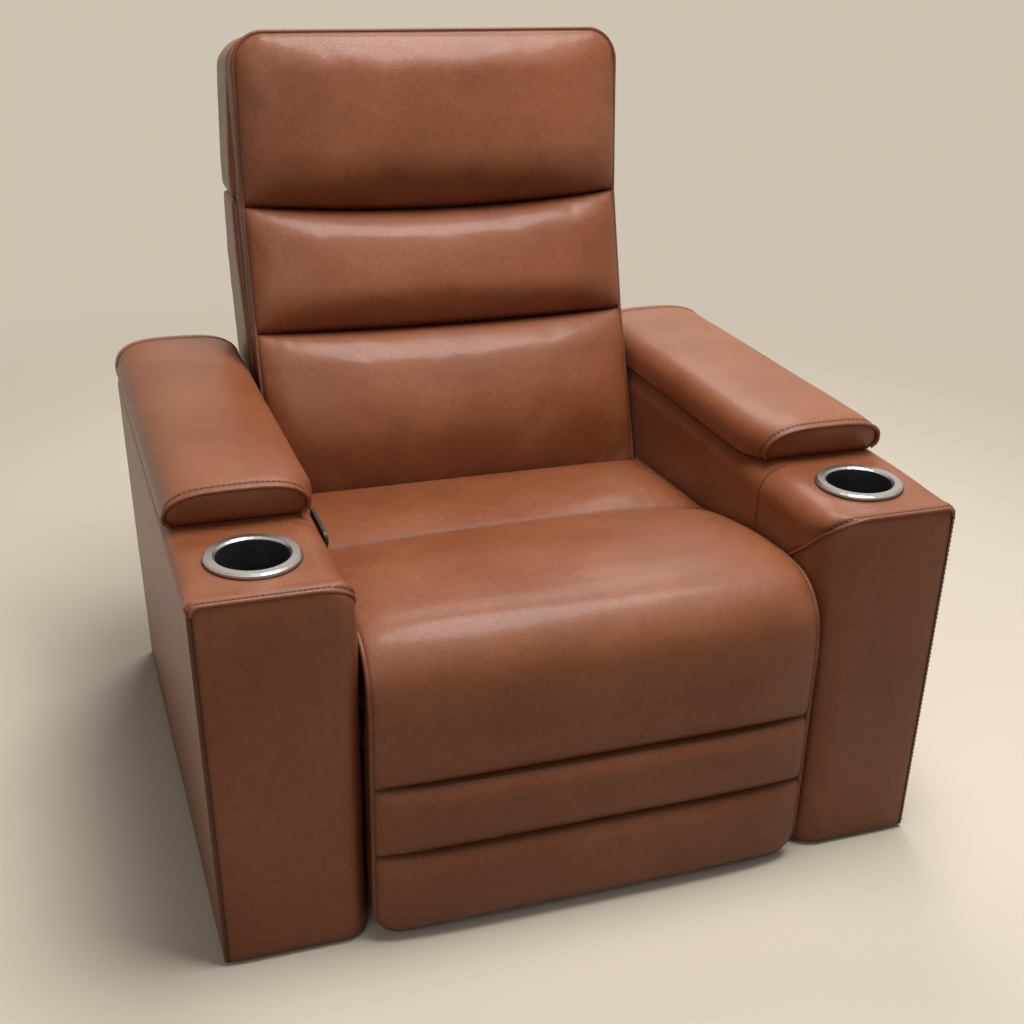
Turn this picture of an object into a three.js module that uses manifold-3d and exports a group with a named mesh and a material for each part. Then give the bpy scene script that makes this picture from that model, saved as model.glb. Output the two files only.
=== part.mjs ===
// Cinema recliner seat: a leather armchair with a powered back, a powered leg rest that unrolls
// from under the knees, a tilting headrest, and a steel cup holder let into each arm.
// Millimetres. X runs to the viewer's right, Y from the front to the back, Z up from the floor.
// Every Y below is measured from the front faces of the arms; the whole chair is then shifted so
// that its origin lies on the floor under the middle of its box.

import * as THREE from 'three';
import { mergeVertices } from 'three/addons/utils/BufferGeometryUtils.js';
import Module from 'manifold-3d';

// The chair as a whole
const overallWidth = 1000;
const armWidth = 186;
const armLength = 860;
const armTopHeight = 519;
const glideHeight = 6;
const frontReach = 22;
const rearReach = 953;
const seatedGap = 0.3;
const cutOverrun = 5;
const weldShare = 0.001;

// Cushions between the arms
const sideClearance = 7;
const seatBaseHeight = 336;
const seatSeamY = 353;
const seatSeamHeight = 390;
const seatRearY = 598;
const seatRearHeight = 379;
const seatCrown = 20;
const seatFrontCrown = 21;

// Turning points: knee line, recline axis, headrest crease
const kneeY = 66;
const kneeHeight = 357;
const reclineY = 662;
const reclineHeight = 300;
const headCreaseY = 762;
const headCreaseHeight = 799;

// Leg rest cushion: two sewn channels under the long shin section
const kneeRadius = 72;
const kneeCoreRadius = 27;
const kneeTuckDegrees = 100;
const legBottomHeight = 11;
const legCornerRadius = 40;
const upperChannelHeight = 235;
const lowerChannelHeight = 133;

// Back cushions, as seen from the side
const backRollBulge = 38;
const backCushionDepth = 58;
const lumbarFootY = 606;
const lumbarFootHeight = 355;
const lumbarTopY = 707;
const lumbarTopHeight = 613;
const headTopY = 787;
const headTopHeight = 1050;
const headCornerRadius = 48;

// Outside back and its inner frame
const shellThickness = 14;
const shellFootHeight = 235;
const shellRearY = 846;
const shellShoulderY = 915;
const backTube = 25;
const webbingHeight = 50;
const webbingThickness = 3;
const headHingeDepth = 30;
const headTiltDegrees = 28;
const headHingeInset = 67;

// Arms
const coverThickness = 12;
const frameBoard = 12;
const armOuterRadius = 16;
const armInnerRadius = 38;
const armFrontRadius = 46;
const armFrontOuterRadius = 8;
const frontPanelDepth = 24;
const frontPanelPuff = 8;
const panelCorner = 5;
const armPadFrontY = 198;
const armPadRearY = 846;
const armPadHeight = 58;
const armPadLipHeight = 46;
const armPadOverhang = 12;

// Cup holders
const cupY = 109;
const cupInset = 82;
const cupRingRadius = 59.5;
const cupBoreRadius = 45.4;
const cupRingHeight = 5.5;
const cupRingBevel = 2.5;
const cupDepth = 86;
const cupWall = 1.5;
const cupLipRadius = 54;
const cupLipThickness = 1.2;

// Steel base
const railWidth = 28;
const railHeight = 40;
const railFrontY = 128;
const railRearY = 800;
const sheet = 3;
const crossTube = 30;
const frontCrossY = 315;
const rearCrossY = 640;
const plateRearY = 690;
const kickPanelThickness = 12;
const kickPanelFoot = 17;
const kickPanelTop = 190;
const glideRadius = 20;
const glideInset = 60;
const baseFootRadius = 13;
const plateInset = 11;
const plateTopHeight = 322;

// Lift linkage of the leg rest
const linkDrop = 150;
const linkSetback = 38;
const torqueY = 245;
const torqueHeight = 205;
const torqueRadius = 12;
const linkBarWidth = 22;
const linkBar = 5;
const pinRadius = 5;
const legLiftDegrees = 90;

// Linear drives
const driveSpread = 62;
const legLever = 75;
const reclineLever = 150;
const reclineDegrees = 45;
const driveRailWidth = 34;
const driveRailHeight = 14;
const driveBlock = 46;
const motorLength = 150;
const motorRadius = 27;
const legLeverStartDegrees = 45;
const reclineLeverStartDegrees = 16;
const legSlotPlay = 4.2;
const reclineSlotPlay = 2.4;
const legTravel = 141;

// Seat frame and springs
const seatFrameDepth = 60;
const seatFrameBoard = 24;
const springWire = 4;
const springCount = 4;
const springWaves = 6;
const springSwing = 24;
const springSpreadShare = 0.85;
const springTaperShare = 0.3;

// Switch panel on the inner face of one arm
const switchY = 236;
const switchHeight = 486;
const switchLength = 92;
const switchWidth = 30;
const buttonRadius = 7.5;
const buttonCount = 4;
const buttonTravel = 1.5;
const buttonProud = 2.5;
const buttonPitch = 21.4;

const armInner = overallWidth / 2 - armWidth;
const plateOuter = armInner - plateInset;
const plateInner = plateOuter - sheet;
const cushionHalf = armInner - sideClearance;
const headHingeX = cushionHalf - headHingeInset;
const armBase = glideHeight + seatedGap;
const turn = Math.PI * 2;
const radians = Math.PI / 180;

// Finishes
const leatherColour = 0x7a4730;
const finishes = {
  leather: { color: leatherColour, roughness: 0.45, metalness: 0 },
  plywood: { color: 0xb98f5f, roughness: 0.8, metalness: 0 },
  blackSteel: { color: 0x1d1e20, roughness: 0.5, metalness: 0.7 },
  zincSteel: { color: 0xb4b6b8, roughness: 0.4, metalness: 0.9 },
  brushedSteel: { color: 0xc4c6c8, roughness: 0.3, metalness: 1 },
  blackPlastic: { color: 0x101012, roughness: 0.5, metalness: 0 },
  webbing: { color: 0x2b2b2e, roughness: 0.9, metalness: 0 },
  rubber: { color: 0x18181a, roughness: 0.9, metalness: 0 },
};

const wasm = await Module();
wasm.setup();

const chair = new THREE.Group();
const centred = new THREE.Group();
centred.position.y = -(rearReach - frontReach) / 2;
chair.add(centred);

function addPiece(name, geometry, finish) {
  const mesh = new THREE.Mesh(geometry, new THREE.MeshStandardMaterial(finishes[finish]));
  mesh.name = name;
  centred.add(mesh);
  return mesh;
}

// Solid joining and cutting
function toSolid(geometry) {
  const bare = geometry.clone();
  bare.deleteAttribute('normal');
  bare.deleteAttribute('uv');
  const merged = mergeVertices(bare, seatedGap * weldShare);
  return new wasm.Manifold(new wasm.Mesh({
    numProp: 3,
    vertProperties: new Float32Array(merged.attributes.position.array),
    triVerts: new Uint32Array(merged.index.array),
  }));
}

function fromSolid(solid) {
  const mesh = solid.getMesh();
  const geometry = new THREE.BufferGeometry();
  geometry.setAttribute('position', new THREE.BufferAttribute(mesh.vertProperties, mesh.numProp));
  geometry.setIndex(new THREE.BufferAttribute(mesh.triVerts, 1));
  geometry.computeVertexNormals();
  return geometry;
}

function join(...geometries) {
  return fromSolid(geometries.map(toSolid).reduce((sum, solid) => sum.add(solid)));
}

function overlap(geometry, other) {
  return fromSolid(toSolid(geometry).intersect(toSolid(other)));
}

function cut(geometry, ...tools) {
  return fromSolid(tools.map(toSolid).reduce((left, tool) => left.subtract(tool), toSolid(geometry)));
}

// Plain shapes given by where they start and end
function block(x0, x1, y0, y1, z0, z1) {
  const geometry = new THREE.BoxGeometry(x1 - x0, y1 - y0, z1 - z0);
  return geometry.translate((x0 + x1) / 2, (y0 + y1) / 2, (z0 + z1) / 2);
}

function outlineShape(points) {
  return new THREE.Shape(points.map(([u, v]) => new THREE.Vector2(u, v)));
}

// A side outline in Y and Z, carried across from x0 to x1
function acrossX(shape, x0, x1, curveSegments = 3) {
  const geometry = new THREE.ExtrudeGeometry(shape, { depth: x1 - x0, bevelEnabled: false, curveSegments });
  const turned = new THREE.Matrix4().makeBasis(
    new THREE.Vector3(0, 1, 0), new THREE.Vector3(0, 0, 1), new THREE.Vector3(1, 0, 0));
  return geometry.applyMatrix4(turned).translate(x0, 0, 0);
}

// A front outline in X and Z, carried back from y0 to y1
function alongY(shape, y0, y1, curveSegments = 4) {
  const geometry = new THREE.ExtrudeGeometry(shape, { depth: y1 - y0, bevelEnabled: false, curveSegments });
  return geometry.rotateX(Math.PI / 2).translate(0, y1, 0);
}

function rodAcross(x0, x1, y, z, radius, sides = 12) {
  const geometry = new THREE.CylinderGeometry(radius, radius, x1 - x0, sides);
  return geometry.rotateZ(Math.PI / 2).translate((x0 + x1) / 2, y, z);
}

function rodFrontToBack(x, z, y0, y1, radius, sides = 20) {
  return new THREE.CylinderGeometry(radius, radius, y1 - y0, sides).translate(x, (y0 + y1) / 2, z);
}

function upright(x, y, z0, z1, radius, sides = 24) {
  const geometry = new THREE.CylinderGeometry(radius, radius, z1 - z0, sides);
  return geometry.rotateX(Math.PI / 2).translate(x, y, (z0 + z1) / 2);
}

function turned(profile, x, y, sides = 40) {
  const points = profile.map(([radius, height]) => new THREE.Vector2(radius, height));
  return new THREE.LatheGeometry(points, sides).rotateX(Math.PI / 2).translate(x, y, 0);
}

// The same piece for the other arm: mirrored in X, with its faces turned out again
function mirrored(geometry) {
  const copy = geometry.index ? geometry.toNonIndexed() : geometry.clone();
  const position = copy.attributes.position;
  for (let i = 0; i < position.count; i += 3) {
    const a = new THREE.Vector3().fromBufferAttribute(position, i + 1);
    const b = new THREE.Vector3().fromBufferAttribute(position, i + 2);
    position.setXYZ(i + 1, b.x, b.y, b.z);
    position.setXYZ(i + 2, a.x, a.y, a.z);
  }
  for (let i = 0; i < position.count; i += 1) position.setX(i, -position.getX(i));
  copy.deleteAttribute('uv');
  copy.computeVertexNormals();
  return copy;
}

function addPair(name, geometry, finish) {
  addPiece(`${name}_right`, geometry, finish);
  addPiece(`${name}_left`, mirrored(geometry), finish);
}

// A rectangle in two directions with its corners rounded
function roundedOutline(u0, u1, v0, v1, radius) {
  const shape = new THREE.Shape();
  shape.moveTo(u0 + radius, v0);
  shape.lineTo(u1 - radius, v0);
  shape.absarc(u1 - radius, v0 + radius, radius, -Math.PI / 2, 0, false);
  shape.lineTo(u1, v1 - radius);
  shape.absarc(u1 - radius, v1 - radius, radius, 0, Math.PI / 2, false);
  shape.lineTo(u0 + radius, v1);
  shape.absarc(u0 + radius, v1 - radius, radius, Math.PI / 2, Math.PI, false);
  shape.lineTo(u0, v0 + radius);
  shape.absarc(u0 + radius, v0 + radius, radius, Math.PI, Math.PI * 1.5, false);
  return shape;
}

// A closed skin through rings of points, capped at both ends
function loft(rings) {
  const count = rings[0].length;
  const vertices = rings.flat().flatMap((point) => [point.x, point.y, point.z]);
  const faces = [];
  for (let r = 0; r + 1 < rings.length; r += 1) {
    for (let i = 0; i < count; i += 1) {
      const next = (i + 1) % count;
      const a = r * count + i;
      const b = r * count + next;
      const c = a + count;
      const d = b + count;
      faces.push(a, b, d, a, d, c);
    }
  }
  [0, rings.length - 1].forEach((r) => {
    const outline = rings[r].map((point) => new THREE.Vector2(point.capU, point.capV));
    const wanted = THREE.ShapeUtils.isClockWise(outline) !== (r === 0);
    THREE.ShapeUtils.triangulateShape(outline, []).forEach((corner) => {
      const flat = corner.map((i) => outline[i]);
      const ordered = THREE.ShapeUtils.isClockWise(flat) === wanted ? corner : [...corner].reverse();
      faces.push(...ordered.map((i) => r * count + i));
    });
  });
  const geometry = new THREE.BufferGeometry();
  geometry.setAttribute('position', new THREE.Float32BufferAttribute(vertices, 3));
  geometry.setIndex(enclosed(vertices, faces) < 0 ? faces.reverse() : faces);
  geometry.computeVertexNormals();
  return geometry;
}

// Six times the volume inside a skin: negative where its faces look inwards
function enclosed(vertices, faces) {
  let sum = 0;
  const corner = (i) => new THREE.Vector3(...vertices.slice(faces[i] * 3, faces[i] * 3 + 3));
  for (let i = 0; i < faces.length; i += 3) sum += corner(i).dot(corner(i + 1).cross(corner(i + 2)));
  return sum;
}

// A cushion across the seat: its side outline at each station from left to right, where
// fullness falls from one in the middle to zero at the seams along its sides
const crownStations = 9;
const crownSharpness = 5;
const hemFullnessShare = 0.04;

function crossCushion(halfWidth, sideOutline) {
  const rings = [];
  for (let i = 0; i <= crownStations * 2; i += 1) {
    const side = -Math.cos((Math.PI * i) / (crownStations * 2));
    const fullness = Math.max(hemFullnessShare, Math.sqrt(1 - Math.abs(side) ** crownSharpness));
    rings.push(sideOutline(fullness, side).map(([y, z]) => {
      const point = new THREE.Vector3(side * halfWidth, y, z);
      point.capU = y;
      point.capV = z;
      return point;
    }));
  }
  return loft(rings);
}

// Seat, rear section: a crowned cushion from the cross seam back to the lumbar roll
const crownShare = 0.5;
const lipSharpness = 4;
const seamFillShare = 0.25;
const cushionSteps = 8;

function seatRearOutline(fullness) {
  const points = [[seatRearY, seatBaseHeight], [seatSeamY + seatedGap, seatBaseHeight]];
  for (let i = 0; i <= cushionSteps; i += 1) {
    const share = i / cushionSteps;
    const along = seamFillShare + (1 - seamFillShare) * share;
    const crown = seatCrown * fullness * Math.sin(Math.PI * along) ** crownShare;
    const y = seatSeamY + seatedGap + (seatRearY - seatSeamY - seatedGap) * share;
    points.push([y, seatSeamHeight + (seatRearHeight - seatSeamHeight) * share + crown]);
  }
  return points;
}

addPiece('seat_cushion_rear', crossCushion(cushionHalf, seatRearOutline), 'leather');

// Knee line: the leg rest's roll turns about it inside a hollow in the front seat cushion
function aroundKnee(radius, degrees) {
  return [kneeY - radius * Math.cos(degrees * radians), kneeHeight + radius * Math.sin(degrees * radians)];
}

const kneeCrown = frontReach - (kneeRadius - kneeY);
const kneeLipY = kneeY + kneeRadius / 4;
const kneeFold = seatedGap * 2;

function kneeReach(fullness) {
  return kneeRadius + kneeCrown * fullness;
}

// Seat, front section: rises from the cross seam and ends in a lip over the knee roll
function seatFrontOutline(fullness) {
  const socket = kneeReach(fullness) + kneeFold;
  const lipDegrees = 90 + Math.asin((kneeLipY - kneeY) / socket) / radians;
  const baseDegrees = 180 + Math.asin((kneeHeight - seatBaseHeight) / socket) / radians;
  const points = [[seatSeamY, seatBaseHeight]];
  for (let i = 0; i <= cushionSteps; i += 1) {
    const degrees = baseDegrees + ((lipDegrees - baseDegrees) * i) / cushionSteps;
    points.push(aroundKnee(socket, degrees));
  }
  for (let i = cushionSteps; i >= 0; i -= 1) {
    const share = i / cushionSteps;
    const rise = (kneeHeight + kneeRadius + kneeFold * 4 - seatSeamHeight) * Math.sin((Math.PI / 2) * share);
    const toSeam = (1 - seamFillShare) * (1 - share);
    const crown = seatFrontCrown * fullness * Math.sqrt(1 - toSeam ** lipSharpness);
    points.push([seatSeamY + (kneeLipY - seatSeamY) * share, seatSeamHeight + rise + crown]);
  }
  return points;
}

addPiece('seat_cushion_front', crossCushion(cushionHalf, seatFrontOutline), 'leather');

// Leg rest cushion: knee roll, long shin section and two sewn channels, with round lower corners
const legFaceY = kneeY - kneeRadius;
const legBackY = kneeY - kneeCoreRadius;
const tuckSteps = 6;
const kneeSteps = 8;
const channelSteps = 6;

function channelRoll(points, top, bottom, fullness) {
  for (let i = 1; i <= channelSteps; i += 1) {
    const share = i / channelSteps;
    const puff = kneeCrown * fullness * Math.sin(Math.PI * share) ** crownShare;
    points.push([legFaceY - puff, top + (bottom - top) * share]);
  }
}

function legOutline(fullness, side) {
  const corner = Math.max(0, Math.abs(side) * cushionHalf - (cushionHalf - legCornerRadius));
  const foot = legBottomHeight + legCornerRadius - Math.sqrt(legCornerRadius ** 2 - corner ** 2);
  const points = [];
  for (let i = 0; i <= tuckSteps; i += 1) {
    points.push(aroundKnee(kneeCoreRadius, (kneeTuckDegrees * i) / tuckSteps));
  }
  for (let i = kneeSteps; i >= 0; i -= 1) {
    points.push(aroundKnee(kneeReach(fullness), (kneeTuckDegrees * i) / kneeSteps));
  }
  for (let i = 1; i <= channelSteps; i += 1) {
    const share = i / channelSteps;
    const puff = kneeCrown * fullness * Math.sqrt(1 - share ** lipSharpness);
    points.push([legFaceY - puff, kneeHeight + (upperChannelHeight - kneeHeight) * share]);
  }
  channelRoll(points, upperChannelHeight, lowerChannelHeight, fullness);
  channelRoll(points, lowerChannelHeight, foot, fullness);
  points.push([legBackY, foot]);
  return points;
}

addPiece('leg_cushion', crossCushion(cushionHalf, legOutline), 'leather');

// Leg rest board behind the cushion, with a steel bracket at each side: its upper eye turns on
// the knee pin and its lower eye takes the lift link
const boardThickness = 15;
const boardInset = 22;
const boardDrop = 12;
const boardFootRise = 20;
const boardHoleRadius = 40;
const boardHalf = cushionHalf - boardInset;
const boardBackY = legBackY + seatedGap + boardThickness;
const boardTop = kneeHeight - boardDrop;
addPiece('leg_board', cut(
  block(-boardHalf, boardHalf, legBackY + seatedGap, boardBackY, legBottomHeight + boardFootRise, boardTop),
  ...[-1, 1].map((side) => rodFrontToBack(side * boardHalf / 2, (legBottomHeight + boardTop) / 2,
    legBackY - cutOverrun, boardBackY + cutOverrun, boardHoleRadius))), 'plywood');

// A flat bar between two eyes, seen from the side
function barOutline(y0, z0, y1, z1, halfWidth) {
  const lean = Math.atan2(z1 - z0, y1 - y0);
  const shape = new THREE.Shape();
  shape.absarc(y1, z1, halfWidth, lean - Math.PI / 2, lean + Math.PI / 2, false);
  shape.absarc(y0, z0, halfWidth, lean + Math.PI / 2, lean + Math.PI * 1.5, false);
  return shape;
}

const crankInset = 25;
const linkSpace = 3;
const linkEyeY = kneeY + linkSetback;
const linkEyeHeight = kneeHeight - linkDrop;
const crankEyeY = torqueY + linkSetback;
const crankEyeHeight = torqueHeight - linkDrop;
const bracketOuter = plateInner - linkBar - seatedGap;
const bracketInner = bracketOuter - sheet;
const crankOuter = bracketInner - crankInset;
const crankInner = crankOuter - linkBar;
const linkOuter = crankInner - linkSpace;
const linkInner = linkOuter - linkBar;
const eyeRadius = linkBarWidth / 2;

const bracketBackY = boardBackY + seatedGap;
const bracketFoot = legBottomHeight + legCornerRadius;
const bracketUpright = join(
  block(bracketInner, bracketOuter, bracketBackY, kneeY + eyeRadius / 2, bracketFoot, kneeHeight),
  acrossX(barOutline(kneeY, kneeHeight, kneeY, kneeHeight - eyeRadius, eyeRadius), bracketInner, bracketOuter),
  block(linkInner, bracketOuter, bracketBackY, bracketBackY + sheet, bracketFoot, boardTop),
  acrossX(outlineShape([
    [bracketBackY, linkEyeHeight - linkDrop / 3],
    [linkEyeY + eyeRadius / 2, linkEyeHeight - eyeRadius],
    [linkEyeY + eyeRadius, linkEyeHeight],
    [linkEyeY + eyeRadius / 2, linkEyeHeight + eyeRadius],
    [bracketBackY, linkEyeHeight + linkDrop / 3],
  ]), crankInner, crankOuter),
  rodAcross(bracketInner, plateOuter + sheet, kneeY, kneeHeight, pinRadius),
  rodAcross(linkInner - sheet, crankOuter, linkEyeY, linkEyeHeight, pinRadius));
addPair('leg_bracket', bracketUpright, 'blackSteel');

// A lever on a turning tube, with a slot for a driven pin that runs straight under it
function slottedLever(y, z, startDegrees, sweepDegrees, reach, play, x0, x1) {
  const lean = startDegrees * radians;
  const slotHalf = pinRadius + play;
  const far = reach / Math.cos(Math.max(startDegrees, sweepDegrees - startDegrees) * radians);
  const tip = [y + far * Math.sin(lean), z - far * Math.cos(lean)];
  const near = [y + reach * Math.sin(lean), z - reach * Math.cos(lean)];
  const plate = acrossX(barOutline(y, z, tip[0], tip[1], slotHalf + pinRadius), x0, x1);
  const slot = acrossX(barOutline(near[0], near[1], tip[0], tip[1], slotHalf), x0 - cutOverrun, x1 + cutOverrun);
  return cut(plate, slot);
}

// Torque tube under the seat: a crank at each side lifts the leg rest through a link, and the
// slotted lever is drawn forward by the drive
const driveX = driveSpread + driveRailWidth / 2;
const stubRadius = torqueRadius * 2 / 3;
const legLeverX = driveX + sheet;
const cranks = [-1, 1].flatMap((side) => {
  const crank = acrossX(barOutline(torqueY, torqueHeight, crankEyeY, crankEyeHeight, eyeRadius),
    crankInner, crankOuter);
  const pin = rodAcross(linkInner - sheet, crankOuter, crankEyeY, crankEyeHeight, pinRadius);
  return side > 0 ? [crank, pin] : [mirrored(crank), mirrored(pin)];
});
addPiece('torque_tube', join(
  rodAcross(seatedGap - plateInner, plateInner - seatedGap, torqueY, torqueHeight, torqueRadius),
  rodAcross(-plateOuter - sheet, plateOuter + sheet, torqueY, torqueHeight, stubRadius),
  ...cranks,
  slottedLever(torqueY, torqueHeight, legLeverStartDegrees, legLiftDegrees, legLever, legSlotPlay,
    legLeverX, legLeverX + linkBar)), 'blackSteel');

// Lift links: flat bars from the cranks up to the leg rest brackets, turning on their pins
addPair('lift_link', cut(
  acrossX(barOutline(crankEyeY, crankEyeHeight, linkEyeY, linkEyeHeight, eyeRadius), linkInner, linkOuter),
  ...[[crankEyeY, crankEyeHeight], [linkEyeY, linkEyeHeight]].map(([y, z]) => (
    rodAcross(linkInner - cutOverrun, linkOuter + cutOverrun, y, z, pinRadius + seatedGap)))), 'zincSteel');

// Base: two channel rails on feet, two square tubes across them that reach to both arms
const railTop = glideHeight + seatedGap + railHeight;
const railOuter = plateInner - seatedGap;
const railInner = railOuter - railWidth;
const footX = (railInner + railOuter) / 2;
const footFlatShare = 0.9;
function footOf(x, y, radius, height) {
  return turned([[0, 0], [radius * footFlatShare, 0], [radius, height / 4], [radius, height], [0, height]], x, y, 16);
}
const channel = cut(
  block(railInner, railOuter, railFrontY, railRearY, armBase, railTop),
  block(railInner - cutOverrun, railOuter - sheet, railFrontY - cutOverrun, railRearY + cutOverrun,
    armBase + sheet, railTop - sheet));
addPair('base_rail', join(channel,
  ...[railFrontY + railWidth, railRearY - railWidth].map((y) => footOf(footX, y, baseFootRadius, armBase + sheet / 2))),
'blackSteel');

const tubeBottom = railTop + seatedGap;
const tubeTop = tubeBottom + crossTube;
const tubeReach = armInner - seatedGap;
function addCrossTube(name, y) {
  addPiece(name, cut(
    block(-tubeReach, tubeReach, y - crossTube / 2, y + crossTube / 2, tubeBottom, tubeTop),
    block(-tubeReach - cutOverrun, tubeReach + cutOverrun, y - crossTube / 2 + sheet, y + crossTube / 2 - sheet,
      tubeBottom + sheet, tubeTop - sheet)), 'blackSteel');
}
addCrossTube('cross_tube_front', frontCrossY);
addCrossTube('cross_tube_rear', rearCrossY);

[['arm_glide_front', glideInset], ['arm_glide_rear', armLength - glideInset]].forEach(([name, y]) => {
  addPair(name, footOf(overallWidth / 2 - armWidth / 2, y, glideRadius, glideHeight), 'blackPlastic');
});

// Side plates: pressed steel, with an ear at the knee line, the bearings of the torque tube and
// the back, and three holes that save weight
const plateFoot = armBase + sheet;
const earShoulderShare = 0.8;
const seatBoardFrontY = kneeY + eyeRadius * 3;
const plateOutline = outlineShape([
  [railFrontY, plateFoot],
  [plateRearY, plateFoot],
  [plateRearY, reclineHeight],
  [reclineY + torqueRadius, reclineHeight + torqueRadius * 2],
  [reclineY - torqueRadius * 2, plateTopHeight],
  [seatBoardFrontY, plateTopHeight],
  [kneeY + eyeRadius / 2, kneeHeight + eyeRadius * earShoulderShare],
  [kneeY - eyeRadius / 2, kneeHeight + eyeRadius * earShoulderShare],
  [kneeY - eyeRadius, kneeHeight],
  [kneeY - eyeRadius / 2, kneeHeight - eyeRadius * earShoulderShare],
  [kneeY + eyeRadius, kneeHeight - eyeRadius * 3],
]);

const plateThrough = (y, z, radius, sides) => (
  rodAcross(plateInner - cutOverrun, plateOuter + cutOverrun, y, z, radius, sides));
const plateHoleRadius = plateTopHeight / 9;
const sidePlate = cut(
  acrossX(plateOutline, plateInner, plateOuter),
  plateThrough(kneeY, kneeHeight, pinRadius + seatedGap, 12),
  plateThrough(torqueY, torqueHeight, stubRadius + seatedGap, 12),
  plateThrough(reclineY, reclineHeight, stubRadius + seatedGap, 12),
  ...[frontCrossY, rearCrossY].map((y) => block(plateInner - cutOverrun, plateOuter + cutOverrun,
    y - crossTube / 2 - seatedGap, y + crossTube / 2 + seatedGap, tubeBottom - seatedGap, tubeTop + seatedGap)),
  ...[1, 2, 3].map((step) => plateThrough(
    torqueY + (step * (reclineY - torqueY)) / 4, (tubeTop + plateTopHeight) / 2, plateHoleRadius, 18)));
addPair('side_plate', sidePlate, 'blackSteel');

// Seat frame: boards on edge between the side plates, with waved springs from front to back
const seatFrameHalf = plateInner - seatedGap;
const seatFrameTop = seatBaseHeight - springWire * 5;
const seatFrameFoot = seatFrameTop - seatFrameDepth;
const seatFrameFrontY = seatBoardFrontY + eyeRadius / 4;
const seatFrameRearY = 618;
addPiece('seat_frame', cut(
  block(-seatFrameHalf, seatFrameHalf, seatFrameFrontY, seatFrameRearY, seatFrameFoot, seatFrameTop),
  block(-seatFrameHalf + seatFrameBoard, seatFrameHalf - seatFrameBoard,
    seatFrameFrontY + seatFrameBoard, seatFrameRearY - seatFrameBoard,
    seatFrameFoot - cutOverrun, seatFrameTop + cutOverrun)), 'plywood');

class SpringPath extends THREE.Curve {
  constructor(x) {
    super();
    this.x = x;
  }

  getPoint(share) {
    const run = seatFrameRearY - seatFrameFrontY - seatFrameBoard;
    const swing = springSwing * Math.sin(turn * springWaves * share) * Math.sin(Math.PI * share) ** springTaperShare;
    const low = seatFrameTop + seatedGap + springWire / 2;
    const arch = seatBaseHeight - seatedGap - springWire / 2 - low;
    return new THREE.Vector3(this.x + swing, seatFrameFrontY + seatFrameBoard / 2 + run * share,
      low + arch * Math.sin(Math.PI * share));
  }
}

function wireSection(radius) {
  const shape = new THREE.Shape();
  shape.absarc(0, 0, radius, 0, turn, false);
  return shape;
}

for (let i = 0; i < springCount; i += 1) {
  const x = ((i * 2 + 1) / springCount - 1) * seatFrameHalf * springSpreadShare;
  addPiece(`seat_spring_${i + 1}`, new THREE.ExtrudeGeometry(wireSection(springWire / 2), {
    steps: springWaves * 6, extrudePath: new SpringPath(x), curveSegments: 3, bevelEnabled: false,
  }), 'zincSteel');
}

// Linear drives: a rail on the cross tubes, a geared motor standing on it, and a block that the
// motor's screw draws along the rail, with a pin in the slot of its lever
function addDrive(name, side, pinY, pinHeight, y0, y1, motorY) {
  const railRoof = pinHeight - pinRadius * 3 - seatedGap;
  const half = driveRailWidth / 2;
  const x = side * driveSpread;
  const feet = [frontCrossY, rearCrossY].map((y) => block(x - half, x + half, y - crossTube / 2, y + crossTube / 2,
    tubeTop + seatedGap, railRoof - driveRailHeight / 2));
  const body = block(x - half, x + half, y0, y1, railRoof - driveRailHeight, railRoof);
  const groove = block(x - half / 3, x + half / 3, y0 - cutOverrun, y1 + cutOverrun,
    railRoof - driveRailHeight / 2, railRoof + cutOverrun);
  addPiece(`${name}_rail`, cut(join(body, ...feet), groove), 'zincSteel');
  const motorHeight = railRoof + seatedGap + motorRadius;
  const gearbox = block(x - half, x + half, motorY, motorY + motorLength / 3,
    railRoof + seatedGap, motorHeight + motorRadius);
  const can = rodFrontToBack(x, motorHeight, motorY + motorLength / 3 - sheet, motorY + motorLength, motorRadius);
  addPiece(`${name}_motor`, join(gearbox, can), 'blackPlastic');
  const saddle = join(
    block(x - half, x + half, pinY - driveBlock / 2, pinY + driveBlock / 2, railRoof + seatedGap,
      pinHeight + pinRadius * 2),
    rodAcross(Math.min(x, side * (legLeverX + linkBar * 2)), Math.max(x, side * (legLeverX + linkBar * 2)),
      pinY, pinHeight, pinRadius));
  addPiece(`${name}_block`, saddle, 'blackPlastic');
}

addDrive('leg_drive', 1, torqueY + legTravel / 2, torqueHeight - legLever,
  torqueY - legTravel / 2 - driveBlock / 2 - sheet, rearCrossY + crossTube / 2, rearCrossY - motorLength);
const reclinePinY = reclineY + reclineLever * Math.tan(reclineLeverStartDegrees * radians);
addDrive('recline_drive', -1, reclinePinY, reclineHeight - reclineLever,
  frontCrossY - crossTube / 2, reclinePinY + driveBlock / 2, frontCrossY + crossTube / 2);

// Back: the seam line of its front, from the lumbar foot up to the headrest crease
function seamLineY(height) {
  const leanLow = (lumbarTopY - lumbarFootY) / (lumbarTopHeight - lumbarFootHeight);
  const leanHigh = (headCreaseY - lumbarTopY) / (headCreaseHeight - lumbarTopHeight);
  return height < lumbarTopHeight
    ? lumbarFootY + (height - lumbarFootHeight) * leanLow
    : lumbarTopY + (height - lumbarTopHeight) * leanHigh;
}

const rollFullnessShare = 0.6;
const rollLeanShare = 0.92;
const rollSteps = 9;

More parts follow.
